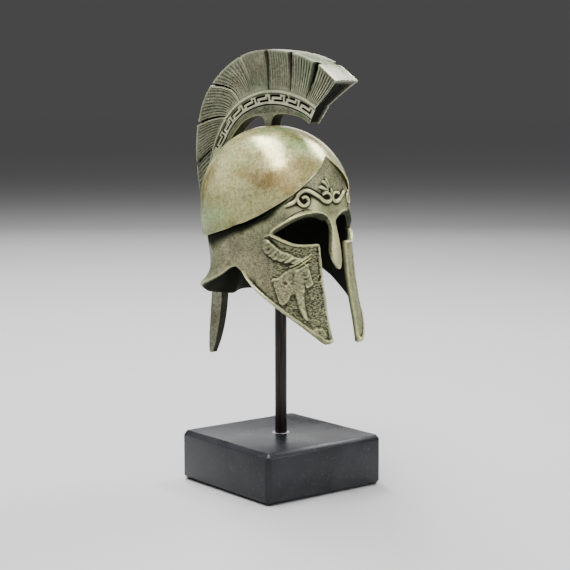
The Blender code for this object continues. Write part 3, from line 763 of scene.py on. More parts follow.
STRAPS = (
    ((26.6, 112.6, 0.4), (23.6, 113.9, 0.5), (20.6, 115.7, 0.5), (15.7, 118.4, 0.25)),
    ((24.6, 111.9, 0.4), (21.4, 113.5, 0.45), (18.6, 115.3, 0.45), (16.2, 116.7, 0.25)),
    ((22.8, 111.2, 0.4), (20.0, 112.5, 0.45), (17.6, 113.9, 0.3)),
    ((24.6, 116.9, 0.35), (21.6, 115.4, 0.45), (18.2, 112.6, 0.35)),
    ((22.0, 116.8, 0.3), (20.2, 115.6, 0.4), (18.4, 115.0, 0.3)),
)
FOLD_RIDGES = (
    ((35.6, 105.2, 0.5), (34.6, 106.3, 0.7), (32.0, 107.0, 0.55), (29.7, 109.2, 0.5),
     (27.1, 111.0, 0.5), (24.6, 112.1, 0.4)),
    ((25.2, 100.2, 0.3), (27.6, 99.3, 0.4), (28.8, 96.8, 0.4), (31.2, 94.6, 0.4)),
    ((34.6, 104.4, 0.3), (33.4, 100.4, 0.4), (32.6, 96.6, 0.35)),
    ((20.0, 112.4, 0.4), (18.2, 111.4, 0.45), (17.4, 107.6, 0.4), (16.5, 104.7, 0.4)),
    ((22.4, 110.6, 0.3), (21.4, 109.2, 0.4), (19.9, 109.6, 0.4), (19.4, 111.2, 0.3)),
    ((23.4, 103.0, 0.3), (23.2, 97.0, 0.5), (22.4, 90.4, 0.3)),
    ((40.6, 123.6, 0.3), (38.0, 125.2, 0.5), (35.9, 123.9, 0.55), (33.2, 121.5, 0.6),
     (30.3, 119.5, 0.6), (28.1, 118.8, 0.6), (25.2, 117.7, 0.5), (22.0, 116.2, 0.4)),
)
CURL, SPOT = (19.9, 109.2), (29.2, 104.9)      # the cloak's curl in front, and a drilled spot
PUNCH_S, PUNCH_TOP, PUNCH_PITCH, PUNCHES = 12.2, 120.6, 1.45, 29
BIG_PUNCHES = 15                               # the marks further down are smaller and fainter
print("figure of", len(PADS), "pads,", len(STRAPS), "straps and", len(FOLD_RIDGES), "ridges")

# %% [markdown]
# Folds run over the arm as slanting waves, rings run round the cloak's curl, and bars raise the
# hems and the straps. Two grains of different size wear it all down unevenly.


# %% Relief of the cheek figure
def pad(points, outline, rise, soft):
    """Height of a pad with a rounded edge, and nothing outside its outline."""
    curve = smooth_path(np.vstack([outline, outline[:1]]), 5)
    within = inside(points, curve)
    height = np.zeros(len(points))
    height[within] = rise * round_back(1.0 - nearest(points[within], curve)[0] / soft)
    return height


def figure_relief(points):
    s, z = points.T
    pads = {name: pad(points, np.array(outline), rise, soft)
            for name, (outline, rise, soft) in PADS.items()}
    phase = (0.55 * s + 0.95 * z) / 2.3 + 0.35 * grain(s, z, 2.6, 11)
    folds = (0.20 + 0.14 * grain(s, z, 3.1, 12)) * np.sin(2.0 * pi * phase)
    pads["arm"] = pads["arm"] * (0.9 + folds) + 0.25 * folds * (pads["arm"] > 0.2)
    pads["arm"] *= ramp(s, 42.0, 34.0)
    ring = np.hypot(s - CURL[0], z - CURL[1]) + 0.5 * grain(s, z, 2.4, 15)
    pads["cloak_front"] = pads["cloak_front"] * (1.0 + 0.25 * np.cos(2.0 * pi * ring / 1.7)
                                                 * ramp(ring, 4.2, 2.8))
    hole = np.hypot(s - SPOT[0], z - SPOT[1])
    pads["cloak_rear"] = np.where(pads["cloak_rear"] > 0, pads["cloak_rear"]
                                  + 0.2 * np.exp(-((hole - 1.5) / 0.4) ** 2)
                                  - 0.45 * np.exp(-(hole / 0.7) ** 2), 0.0)
    ridges = np.max([bar(points, path, 1.25) for path in FOLD_RIDGES], axis=0)
    ridges *= (0.75 + 0.45 * grain(s, z, 1.7, 13)) * ramp(s, 42.0, 35.0)
    straps = np.max([bar(points, path, 1.35) for path in STRAPS], axis=0)
    figure = np.max([*pads.values(), ridges, straps], axis=0)
    return figure + (0.16 * grain(s, z, 1.1, 14) + 0.12 * grain(s, z, 2.6, 16)) * (figure > 0.2)


def cheek_area(s, z):
    """1 on the punched ground of a cheek guard, 0 elsewhere."""
    return ramp(z, 124.0, 120.5) * ramp(s, 11.6, 12.6) * ramp(s, 42.0, 30.0)


def punch_marks(s, z):
    spread = np.random.RandomState(3).uniform(-1.0, 1.0, (PUNCHES, 3))
    depth = np.zeros(len(s))
    for k, (a, b, c) in enumerate(spread):
        at = (PUNCH_S + 0.45 * a, PUNCH_TOP - PUNCH_PITCH * k + 0.4 * b)
        size, strength = (0.38, 0.42 + 0.1 * c), 0.42 + 0.15 * c
        if k < BIG_PUNCHES:
            size, strength = (0.50 + 0.15 * b, 0.55 + 0.20 * c), 0.70 + 0.2 * c
        mark = np.exp(-((s - at[0]) / size[0]) ** 2 - ((z - at[1]) / size[1]) ** 2)
        depth = np.maximum(depth, mark * strength)
    return depth


# %% [markdown]
# The rim of the eye is a bead that keeps a constant distance to the opening, so it is worked out
# from that distance. The same distance rounds every cut edge. The upper lid slopes away to the
# opening, so there the bead is finer and stands further back, with a fine line cut above it.

# %% Height of the relief at any place
EDGE_ROUND = 0.5
BORDER_LIFT, BORDER_HALF, BORDER_RISE = 0.95, 0.90, 0.90
LID_SLOPE, LID_DEPTH = 1.1, 1.5   # the upper lid is cut away this wide and deep, to the opening
NASAL_SLOPE, NASAL_DEPTH = 0.9, 1.1
LEFT_EYE_SHORT = 4.5              # the casting's left eye ends this much sooner
EYE_TAIL = ((33.6, 128.2, 0.8), (35.5, 127.8, 0.6), (38.8, 126.8, 0.25))
BROW_LINE = ((32.9, 131.6, 0.3), (29.2, 133.7, 0.42), (24.5, 136.7, 0.45), (19.9, 138.8, 0.42),
             (16.0, 139.4, 0.35), (12.0, 139.0, 0.1))
WORN_SIDE = 0.30                  # the left half of the palmette is rubbed down to this share
LEFT_FIGURE, LEFT_GROUND, LEFT_MARKS = 0.45, 0.3, 0.35   # the left guard's details are weaker too
LEFT_FIGURE_LOW = 88.0            # and its figure ends at this height
GROUND_RISE, FRONT_RISE, NASAL_RISE, NASAL_HALF = 0.30, 0.30, 0.5, 4.6


def eye_side(s, z):
    """Distance from the centre line in the right eye's measure: the left eye is a little shorter."""
    side = np.abs(s)
    return side + (s < 0) * LEFT_EYE_SHORT * ramp(side, 14.0, 26.0) * ramp(z, 117.0, 122.5) \
        * ramp(z, 140.0, 136.0)


def signed_distance(s, z):
    """Distance to the nearest opening, below zero inside it."""
    points = np.stack([eye_side(s, z), z], axis=-1)
    away = nearest(points, OPENING_LOOP)[0]
    return np.where(inside(points, OPENING), -away, away)


def upper_lid(side, z):
    return ramp(z, 127.6, 130.5) * ramp(side, 2.6, 6.0)


def relief(s, z):
    """Height over the plain wall, distance to the nearest cut edge, the punched ground and its marks,
    and the painted shade of the lids.
    """
    side = np.abs(s)
    points = np.stack([side, z], axis=-1)
    to_opening = np.maximum(signed_distance(s, z), 0.0)
    to_rim = nearest(points, rim_path(400))[0]
    to_edge = np.minimum(to_opening, to_rim)
    lid = upper_lid(side, z)
    eye_points = np.stack([eye_side(s, z), z], axis=-1)
    turned_away = (s < 0) * ramp(side, 11.0, 17.0) * lid

    drop = np.clip(EDGE_ROUND - to_edge, 0.0, EDGE_ROUND)
    height = -(EDGE_ROUND - np.sqrt(EDGE_ROUND ** 2 - drop ** 2))
    eye = np.where(side > 7.0, ramp(z, 121.8, 122.6), ramp(z, 130.5, 136.0) * ramp(side, 3.0, 6.5))
    half = 0.65 - 0.13 * lid
    bead = eye * (0.6 - 0.1 * lid) * (1.0 - 0.7 * turned_away) \
        * round_back(np.abs(to_opening - half - 0.8 * LID_SLOPE * lid) / half)
    nasal_side = ramp(z, 115.0, 120.0) * ramp(z, 136.5, 133.0) * ramp(side, 7.0, 5.0)
    lid_cut = lid * clamp(1.0 - to_opening / LID_SLOPE)
    nasal_cut = nasal_side * clamp(1.0 - to_opening / NASAL_SLOPE)
    height = height - np.maximum(LID_DEPTH * lid_cut, NASAL_DEPTH * nasal_cut)
    # Painted shade on the upper lid's cut slope, beside the nasal, and over the left eye's turned-away
    # lid.
    shade = np.maximum(0.80 * ramp(lid_cut, 0.0, 0.25), 0.50 * ramp(nasal_cut, 0.0, 0.5))
    shade = np.maximum(shade, 0.9 * turned_away * ramp(to_opening, 2.6, 1.4))
    border = BORDER_RISE * round_back(np.abs(to_rim - BORDER_LIFT) / BORDER_HALF) \
        * ramp(side, 53.0, 48.0)
    front = FRONT_RISE * ramp(side, 11.9, 11.5) * ramp(z, 122.0, 121.0) * (side > 7.0) * (s > 0)
    figure = figure_relief(points) * np.where(s < 0, LEFT_FIGURE * (z >= LEFT_FIGURE_LOW), 1.0)
    leaves = brow_relief(points) * np.where((s < -1.2) & (z > 147.4), WORN_SIDE, 1.0)
    raised = np.max([bead, border, front, leaves, figure, bar(eye_points, EYE_TAIL, 0.55)], axis=0)
    nasal = NASAL_RISE * ramp(z, 134.0, 126.0) * round_back(side / NASAL_HALF)
    ground = cheek_area(side, z) * np.where(s < 0, LEFT_GROUND, 1.0) \
        * (1.0 - ramp(bead, 0.1, 0.4)) * (1.0 - 0.60 * ramp(figure, 0.1, 0.5))
    bumps = GROUND_RISE * (0.5 * grain(side, 1.9 * z, 1.5, 4) + 0.5 * grain(side, 1.4 * z, 0.8, 9))
    marks = punch_marks(side, z) * (side > 7.0) * np.where(s < 0, LEFT_MARKS, 1.0)
    line = bar(eye_points, BROW_LINE, 0.40)
    return height + raised + nasal + ground * bumps - marks - line, to_edge, ground, marks, shade


# %% [markdown]
# ## The face piece: wall
# A flat grid is the start. Its columns become `s` and its rows `z`: finely spaced over the face
# and the cheek guards, wider at the back. Faces over an opening, below the rim or far up in the
# dome are deleted in edit mode, the ragged edge left over is pulled onto the outline, and the
# grid is wrapped round.
# An extrusion then gives it a back, which is set a wall's thickness inside and kept smooth.
# A Boolean could cut the openings instead, but it would leave long thin faces along the beads.

# %% Grid over the shell
FINE_PITCH, BACK_PITCH, ROW_PITCH = 0.40, 1.1, 0.41
FACE_S = 44.0
SKIRT_LOW, SKIRT_HIGH = 74.0, 166.0
TOP_OVERLAP = 1.3                 # the wall runs this far up into the dome's underside
LEFT_TIP_DROP = 1.8               # the casting's left guard hangs this much lower at its tip,
LEFT_EDGE_RISE, LEFT_NECK_DROP = 2.4, 2.6   # its long edge runs higher and the neck there lower,
LEFT_TEMPLE_SWELL = 1.5           # and the temple beside the left eye is fuller


def column_places():
    half_face = int(round(FACE_S / FINE_PITCH))
    half_back = int(round((HALF_ROUND - FACE_S) / BACK_PITCH))
    face = np.linspace(0.0, FACE_S, half_face + 1)
    back = np.linspace(FACE_S, HALF_ROUND, half_back + 1)[1:]
    side = np.concatenate([face, back])
    return np.concatenate([-side[:0:-1], side])


def build_grid():
    columns = column_places()
    rows = np.linspace(SKIRT_LOW, SKIRT_HIGH, int((SKIRT_HIGH - SKIRT_LOW) / ROW_PITCH) + 1)
    wall, column, row = flat_grid("helmet_face", len(columns), len(rows))
    return wall, columns[column], rows[row], columns, rows


print("columns", len(column_places()), "of which the finest are", FINE_PITCH, "mm wide")

# %% [markdown]
# Trimming deletes whole faces, which leaves steps. Snapping then moves the points along the
# openings and the rim to the nearest place of the outline or of the rim's curve.


# %% Trim and snap the grid
def trim(wall, s, z):
    """Deletes the faces outside the wall, and gives s and z of the points that stay."""
    faces = np.array([f.vertices[:] for f in wall.data.polygons])
    middle = np.stack([s[faces].mean(axis=1), z[faces].mean(axis=1)], axis=-1)
    side, high = np.abs(middle[:, 0]), middle[:, 1]
    gone = ((signed_distance(*middle.T) < 0) | (high < rim_at(side))
            | (high > edge_at(side) + TOP_OVERLAP))
    store(wall, s=s, z=z)
    select_only(wall)
    bpy.ops.object.mode_set(mode='EDIT')
    bpy.ops.mesh.select_mode(type='FACE')
    bpy.ops.mesh.select_all(action='DESELECT')
    bpy.ops.object.mode_set(mode='OBJECT')
    wall.data.polygons.foreach_set("select", gone)
    bpy.ops.object.mode_set(mode='EDIT')
    bpy.ops.mesh.delete(type='FACE')
    bpy.ops.object.mode_set(mode='OBJECT')
    kept = []
    for name in ("s", "z"):
        values = np.empty(len(wall.data.vertices), dtype=np.float32)
        wall.data.attributes[name].data.foreach_get("value", values)
        kept.append(values.astype(float))
        wall.data.attributes.remove(wall.data.attributes[name])
    return kept


def ragged_points(wall):
    """Points on the open edge of the mesh."""
    edges = np.array([e.vertices[:] for e in wall.data.edges])
    key = {tuple(sorted(e)): i for i, e in enumerate(edges)}
    uses = np.zeros(len(edges), dtype=int)
    for face in wall.data.polygons:
        for pair in face.edge_keys:
            uses[key[pair]] += 1
    return np.unique(edges[uses == 1])


def snap(wall, s, z):
    """Pulls the ragged edge onto the opening's outline or the rim."""
    loose = ragged_points(wall)
    loose = loose[(np.abs(s[loose]) < HALF_ROUND - 0.01)
                  & (z[loose] < edge_at(np.abs(s[loose])) + TOP_OVERLAP - 2 * ROW_PITCH)]
    points = np.stack([eye_side(s[loose], z[loose]), z[loose]], axis=-1)
    to_opening, on_opening, _ = nearest(points, OPENING_LOOP)
    to_rim, on_rim, _ = nearest(points, rim_path(1200))
    where = np.where((to_opening < to_rim)[:, None], on_opening, on_rim)
    sign = np.where(s[loose] < 0, -1.0, 1.0)
    place = where[:, 0].copy()
    for _ in range(12):                      # finds the place whose own measure is the target
        place += where[:, 0] - eye_side(place * sign, where[:, 1])
    s[loose], z[loose] = place * sign, where[:, 1]
    return s, z


# %% [markdown]
# Dark wax and wear follow the relief. Blurring the height over the regular grid and taking
# the difference tells a hollow, which gets dark wax, from a ridge, which is rubbed pale. Comparing
# it with the height a little further up tells a lower edge, which gets a painted shadow as if lit
# from above, from an upper edge, which gets a painted highlight.

# %% Hollows and ridges
OVERHANG_STEP = 0.85


def blurred(field, radius):
    reach = np.arange(-3 * radius, 3 * radius + 1)
    bell = np.exp(-0.5 * (reach / radius) ** 2)
    bell /= bell.sum()
    padded = np.pad(field, 3 * radius, mode='edge')
    once = np.apply_along_axis(lambda line: np.convolve(line, bell, 'valid'), 0, padded)
    return np.apply_along_axis(lambda line: np.convolve(line, bell, 'valid'), 1, once)


def lookup(columns, rows, field, s, z):
    """Reads a field kept on the grid at any place, blending its four nearest nodes."""
    i = np.clip(np.searchsorted(rows, z) - 1, 0, len(rows) - 2)
    j = np.clip(np.searchsorted(columns, s) - 1, 0, len(columns) - 2)
    a = clamp((z - rows[i]) / (rows[i + 1] - rows[i]))
    b = clamp((s - columns[j]) / (columns[j + 1] - columns[j]))
    return ((field[i, j] * (1 - b) + field[i, j + 1] * b) * (1 - a)
            + (field[i + 1, j] * (1 - b) + field[i + 1, j + 1] * b) * a)


def finish_masks(s, z, hollow, ridge, overhang, to_edge, ground, marks, shade):
    """How dark (wax and painted shade) and how pale (wear and painted highlights) each place is."""
    side, below = np.abs(s), edge_at(np.abs(s)) - z
    # The painted shadow under the dome's lip is a hair line over the nose and widest behind.
    width = 0.3 + (4.6 + 1.0 * grain(s, z, 4.0, 22)) * ramp(side, 15.0, 34.0) \
        + (4.5 + 3.0 * grain(s, z, 6.0, 21)) * ramp(side, 45.0, 75.0)
    under_dome = ramp(below, width, 0.35 * width)
    # Painted shade on the forehead, just under the dome's edge.
    forehead = 0.28 * ramp(below, 7.0, 1.0) * ramp(side, 30.0, 18.0)
    open_edge = ramp(to_edge, 0.15, 0.7)
    cavity = ramp(hollow, 0.03, 0.24) * open_edge * (1.0 - 0.25 * ground)
    # Painted shadow under each raised edge, as if lit from above.
    sheltered = 0.95 * ramp(overhang, 0.10, 0.42) * open_edge * (1.0 - 0.1 * ground)
    recess = np.max([cavity, sheltered, under_dome, forehead, 0.33 * ground,
                     clamp(marks * 2.4)], axis=0)
    # Pale: wear on ridges and cut edges, and a painted highlight on upper edges, as if lit from above.
    rubbed = np.max([ramp(ridge, 0.09, 0.32), 0.7 * ramp(to_edge, 0.6, 0.1),
                     0.8 * ramp(-overhang, 0.15, 0.6)], axis=0)
    # The nasal, the left guard and the brow are made paler as well.
    nasal = 0.75 * ramp(side, 7.0, 4.0) * ramp(z, 140.0, 132.0)
    left_guard = 0.28 * ramp(s, -6.0, -9.0) * ramp(z, 122.0, 119.0) * ramp(side, 40.0, 25.0)
    brow = 0.42 * ramp(z, 136.0, 139.0) * ramp(z, 150.0, 143.0) * ramp(side, 34.0, 24.0)
    polish = np.max([rubbed, nasal, left_guard, brow], axis=0) * (1.0 - under_dome)
    # Where the lids carry their own painted shade, it takes the place of the rest.
    covered = np.minimum(1.0, 2.5 * shade)
    return (np.where(shade > 0, np.maximum(recess * (1.0 - covered), shade), recess),
            clamp(polish * (1.0 - 0.7 * forehead) * (1.0 - covered)))


# %% [markdown]
# The wall's back lies a wall's thickness inside. At the upper lid it comes forward into the
# opening, so that a dark slanting edge shows under the bead, and behind the nasal it draws in,
# which leaves the nasal with a rounded, tapering section.

# %% Front and back of the wall
LID_FLARE, CORNER_FLARE, NASAL_TAPER, FLARE_REACH = 0.6, 0.9, 0.7, 2.6


def flared(s, z):
    """s and z of the wall's back behind each place of its front."""
    near = np.abs(signed_distance(s, z)) < FLARE_REACH
    step, there_s, there_z = 0.25, s.copy(), z.copy()
    a, b = s[near], z[near]
    slope = np.stack([signed_distance(a + step, b) - signed_distance(a - step, b),
                      signed_distance(a, b + step) - signed_distance(a, b - step)], axis=-1)
    slope /= np.linalg.norm(slope, axis=-1, keepdims=True) + 1e-9
    side = np.abs(a)
    nasal = ramp(side, 6.0, 4.2) * ramp(b, 134.0, 130.5)
    flare = LID_FLARE + CORNER_FLARE * ramp(side, 15.0, 7.0)
    amount = flare * upper_lid(side, b) * (1.0 - nasal) - NASAL_TAPER * nasal
    amount = amount * clamp(1.0 - signed_distance(a, b) / FLARE_REACH)
    there_s[near] -= slope[:, 0] * amount
    there_z[near] -= slope[:, 1] * amount
    return there_s, there_z


def placed(s, z):
    """Points of the wall, with its top tucked under the dome and the left side's own lower edge."""
    points, outward_xy = skirt_surface(s, z), skirt_normals(s, z)[:, :2]
    over = z - edge_at(np.abs(s))
    tuck = 0.35 * np.clip(over + 1.2, 0.0, 3.0) * ramp(np.abs(s), 14.0, 28.0) \
        + 0.9 * np.clip(over + 0.2, 0.0, 2.0)
    points[:, :2] -= outward_xy * tuck[:, None]
    side, left = np.abs(s), ramp(s, -6.0, -9.0)
    points[:, 2] -= LEFT_TIP_DROP * left * clamp((112.0 - z) / 37.0) * ramp(side, 24.0, 15.0)
    points[:, 2] += LEFT_EDGE_RISE * left * ramp(side, 17.0, 25.0) * ramp(side, 52.0, 44.0) \
        * ramp(z - rim_at(side), 12.0, 0.0)
    swell = LEFT_TEMPLE_SWELL * left * np.exp(-((side - 31.0) / 7.0) ** 2) * ramp(z, 113.0, 121.0) \
        * ramp(z, 146.0, 137.0)
    points[:, :2] += outward_xy * swell[:, None]
    points[:, 2] -= LEFT_NECK_DROP * left * ramp(side, 58.0, 74.0) * ramp(side, 100.0, 84.0) \
        * ramp(z - rim_at(side), 12.0, 0.0)
    return points


print("front of the wall at 120 mm", np.round(placed(np.zeros(1), np.full(1, 120.0)), 1).tolist())

# %% [markdown]
# Now the face piece can be made: trimmed and snapped, raised by its relief, wrapped, and given
# its back by an extrusion. The finish masks of the front are stored with plain ones for the back.

# %% Wrap, thicken and finish the face piece
WELD = 0.02 * MM


def build_face():
    wall, s, z, columns, rows = build_grid()
    s, z = trim(wall, s, z)
    s, z = snap(wall, s, z)
    height, to_edge, ground, marks, shade = relief(s, z)
    grid_s, grid_z = np.meshgrid(columns, rows)
    field = relief(grid_s.ravel(), grid_z.ravel())[0].reshape(grid_s.shape)
    hollow = lookup(columns, rows, blurred(field, 3) - field, s, z)
    ridge = lookup(columns, rows, field - blurred(field, 2), s, z)
    overhang = lookup(columns, rows, blurred(field, 1), s, z + OVERHANG_STEP) - height
    front = placed(s, z) + skirt_normals(s, z) * height[:, None]
    back_s, back_z = flared(s, z)
    back = placed(back_s, back_z) - skirt_normals(back_s, back_z) * WALL

    recess, rubbed = finish_masks(s, z, hollow, ridge, overhang, to_edge, ground, marks, shade)
    set_points(wall, front * MM)
    count = len(wall.data.vertices)
    select_only(wall)
    bpy.ops.object.mode_set(mode='EDIT')
    bpy.ops.mesh.select_all(action='SELECT')
    bpy.ops.mesh.extrude_region()
    bpy.ops.object.mode_set(mode='OBJECT')
    shaped = points_of(wall)
    shaped[count:] = back * MM
    set_points(wall, shaped)
    side = np.abs(s)
    above_eyes = 0.45 * ramp(z, 146.0, 150.0)
    behind_cheek = 0.25 * ramp(side, 30.0, 40.0) * ramp(side, 60.0, 48.0)
    nose_tip = 0.40 * ramp(side, 6.0, 4.0) * ramp(z, 126.0, 116.0)
    left_guard = 0.60 * ramp(s, -6.0, -9.0) * ramp(s, -48.0, -36.0) * ramp(z, 122.0, 119.0)
    stipple = np.max([ground, above_eyes + behind_cheek, nose_tip, left_guard], axis=0)
    masks = {"recess": recess, "rubbed": rubbed, "stipple": stipple, **clouds(FACE_CLOUDS, s, z)}
    # The back, which faces the inside of the helmet, is painted nearly black as shade.
    behind = {"recess": 0.93 + 0.07 * ramp(to_edge, 0.2, 1.2)}
    store(wall, **{name: np.concatenate([values, behind.get(name, np.zeros(count))])
                   for name, values in masks.items()})
    outward(wall, WELD)
    return wall


face = build_face()
finish_piece(face, FACE_BRONZE, "helmet_shell", "helmet_shell", smooth=50)

# %% [markdown]
# ## The crest
# The crest is one casting: a plain holder that arches over the crown, a flat band with a key
# pattern cut in it, a moulding, and the hair, which fans out in tufts with deep gaps between them
# and hangs behind as a narrow tail. Each row of the table is one station from front to tail.

# %% Stations of the crest
CREST = (
    # y and z of the outer edge, of the ridge and of the foot; half width at each; bow of the hair
    (-40.9, 200.1, -26.3, 188.2, -21.2, 179.8, 8.9, 4.8, 4.0, 0.0),
    (-30.8, 207.5, -20.8, 191.4, -16.3, 182.6, 8.8, 4.8, 4.0, 0.0),
    (-22.0, 211.5, -15.6, 193.4, -11.5, 183.8, 8.9, 4.8, 4.0, 0.0),
    (-13.3, 213.9, -10.0, 195.0, -6.0, 184.4, 8.9, 4.8, 4.0, 0.0),
    (-5.4, 215.1, -3.6, 196.1, -1.0, 184.3, 8.8, 4.8, 4.0, 0.0),
    (2.2, 215.5, 3.8, 196.3, 5.0, 184.0, 8.6, 4.8, 4.0, 0.0),
    (11.2, 214.8, 9.4, 195.6, 10.2, 183.7, 8.4, 4.7, 3.9, 0.3),
    (19.6, 212.4, 14.4, 194.3, 14.8, 183.1, 8.0, 4.7, 3.9, 0.8),
    (30.0, 207.0, 18.6, 192.8, 18.2, 182.0, 7.4, 4.6, 3.8, 2.0),
    (39.2, 199.2, 22.8, 190.8, 21.8, 180.0, 7.0, 4.5, 3.8, 3.2),
    (45.4, 190.6, 27.6, 187.4, 25.4, 176.8, 6.6, 4.4, 3.7, 2.2),
    (49.4, 179.6, 32.4, 182.8, 29.0, 172.8, 6.2, 4.3, 3.6, 1.2),
    (51.0, 170.0, 37.0, 176.0, 33.2, 167.6, 5.8, 4.2, 3.5, 0.8),
    (51.4, 159.0, 41.2, 167.0, 38.5, 161.0, 5.2, 4.0, 3.4, 0.5),
    (50.4, 148.0, 44.8, 154.0, 43.2, 151.2, 4.6, 3.8, 3.2, 0.2),
    (48.4, 136.0, 45.6, 138.4, 44.0, 138.4, 4.0, 3.4, 3.0, 0.0),
    (46.0, 122.0, 44.2, 122.4, 43.2, 122.6, 3.4, 3.1, 2.9, 0.0),
    (44.2, 108.0, 42.2, 108.2, 38.9, 108.4, 3.0, 2.9, 2.8, 0.0),
    (43.7, 95.0, 41.1, 95.2, 37.2, 95.6, 2.9, 2.8, 2.7, 0.0),
    (44.9, 81.0, 42.2, 81.2, 38.5, 81.6, 2.8, 2.7, 2.6, 0.0),
    (46.2, 70.0, 44.0, 70.0, 41.2, 70.2, 2.4, 2.3, 2.2, 0.0),
    (47.0, 61.8, 45.9, 61.4, 44.4, 61.6, 1.5, 1.5, 1.5, 0.0),
)
OUTER, RIDGE, FOOT, HALF_OUTER, HALF_RIDGE, HALF_FOOT, BOW = (
    slice(0, 2), slice(2, 4), slice(4, 6), 6, 7, 8, 9)
TAIL_START = 15.0
FAN_PITCH, TAIL_PITCH = 0.25, 0.6

crest_rows = smooth_path(CREST, 60)
crest_t = np.linspace(0.0, len(CREST) - 1, len(crest_rows))
walked = distance_along(crest_rows[:, OUTER])
fan_end = np.interp(TAIL_START, crest_t, walked)
even = np.concatenate([np.linspace(0.0, fan_end, int(fan_end / FAN_PITCH)),
                       np.linspace(fan_end, walked[-1], int((walked[-1] - fan_end) / TAIL_PITCH))[1:]])
STATIONS = len(even)
crest_at = np.stack([np.interp(even, walked, crest_rows[:, k]) for k in range(10)], axis=1)
station_t = np.interp(even, walked, crest_t)
print("crest of", STATIONS, "stations over %.0f mm" % walked[-1])

# %% [markdown]
# Across the crest, one side is a list of levels from the foot up: the plain holder, a sunk line
# painted dark as the shade under the band, the band with the key pattern cut in it, a rounded
# bead, and the hair. The first four are measured down from the ridge, so they keep their widths
# all round the arch.

# %% Key pattern cut in the band
BEAD_WIDTH, BAND_WIDTH, LINE_WIDTH = 2.1, 4.8, 0.9
FULL_HEIGHT = 9.8                 # a holder lower than this has all its widths scaled down
KEY_GROOVES = (
    # name, start and end as places along the unit and up the band, depth as a share
    ("upper", (0.12, 0.83), (0.70, 0.83), 1.0),
    ("lower", (0.36, 0.34), (0.90, 0.34), 1.0),
    ("left", (0.12, 0.83), (0.12, 0.44), 0.9),
    ("right", (0.90, 0.70), (0.90, 0.34), 0.8),
)
KEY_CENTRE = np.array((0.9, 148.1))
KEY_FIRST, KEY_PITCH, KEY_UNITS = radians(-33.0), radians(12.1), 8
KEY_RADIUS, KEY_HALF, KEY_SINK = 43.9, 0.55, 0.80


def key_groove(y, z, up):
    """1 in the middle of a deep groove of the key pattern, 0 on the flat band."""
    turn = np.arctan2(y - KEY_CENTRE[0], z - KEY_CENTRE[1])
    unit = (turn - KEY_FIRST) / KEY_PITCH
    scale = np.array((KEY_PITCH * KEY_RADIUS, BAND_WIDTH))
    local = np.ceil(unit) - unit      # each unit runs forward, from the back of the crest
    cut = np.zeros(len(y))
    for shift in (-1.0, 0.0, 1.0):
        spot = np.stack([local + shift, up], axis=-1) * scale
        for _, start, end, share in KEY_GROOVES:
            away = nearest(spot, np.array((start, end)) * scale)[0]
            cut = np.maximum(cut, share * ramp(away, KEY_HALF + 0.12, KEY_HALF - 0.12))
    return cut * (unit > 0) * (unit < KEY_UNITS)


print("key pattern of", KEY_UNITS, "units, each %.1f mm long" % (KEY_PITCH * KEY_RADIUS))

# %% [markdown]
# The hair is nine tufts. Every gap between two of them has its own width, and every tuft its own
# count of straight strands, cut deep at the front and shallow over the crown.

# %% Tufts and strands
GAPS = (
    # station, shift in mm, half width at the outer edge, how dark the painted shade in it is (0: a
    # painted highlight)
    (1, 2.0, 1.8, 1.0), (3, 0.0, 1.3, 1.0), (5, 0.0, 1.2, 0.8), (7, 0.0, 0.9, 0.0),
    (9, 0.0, 0.9, 1.0), (11, 0.0, 1.0, 1.0), (13, 0.0, 1.1, 1.0), (15, 0.0, 0.8, 1.0),
)
GAP_ROOT_HALF, GAP_DEPTH = 0.5, 2.6
LOW_BACK_DARK = 0.30              # painted shade on the lowest tufts behind
KNOT_HALF, KNOT_FIRST = 0.7, 1    # small knots cross the bead where most of the gaps meet it
STRANDS = (
    # count in the tuft, depth, how dark the lines are, width of a plain pale lock at its start
    (8, 0.72, 1.0, 0.0), (9, 0.52, 0.95, 0.0), (10, 0.26, 0.5, 0.0), (9, 0.12, 0.25, 0.0),
    (9, 0.36, 0.7, 0.0), (10, 0.40, 0.85, 2.0), (11, 0.38, 0.9, 2.0), (11, 0.36, 1.0, 0.0),
    (6, 0.0, 0.0, 0.0),
)
gap_places = np.array([np.interp(row[0], crest_t, walked) + row[1] for row in GAPS])
tuft_of = np.searchsorted(gap_places, even)
tuft_starts = np.concatenate([[0.0], gap_places])[tuft_of]
tuft_ends = np.concatenate([gap_places, [walked[-1]]])[tuft_of]
strand_rows = np.array(STRANDS)[tuft_of]
nearest_gap = np.argmin(np.abs(even[:, None] - gap_places[None, :]), axis=1)
gap_away = np.abs(even - gap_places[nearest_gap])
gap_half, gap_dark = (np.array(GAPS)[nearest_gap, k] for k in (2, 3))
knot = np.exp(-(gap_away / KNOT_HALF) ** 2) * (nearest_gap >= KNOT_FIRST)
print("tufts", len(STRANDS), "gaps at mm", np.round(gap_places, 1).tolist())

# %% [markdown]
# Each level gives a place, a half thickness, and how dark and how pale it is at every station:
# wax and wear, together with painted shade and painted highlights.

# %% Levels of the holder
HOLDER_LEVELS, LINE_LEVELS, BAND_LEVELS, BEAD_LEVELS, HAIR_LEVELS, TOP_LEVELS = 8, 5, 19, 7, 16, 4


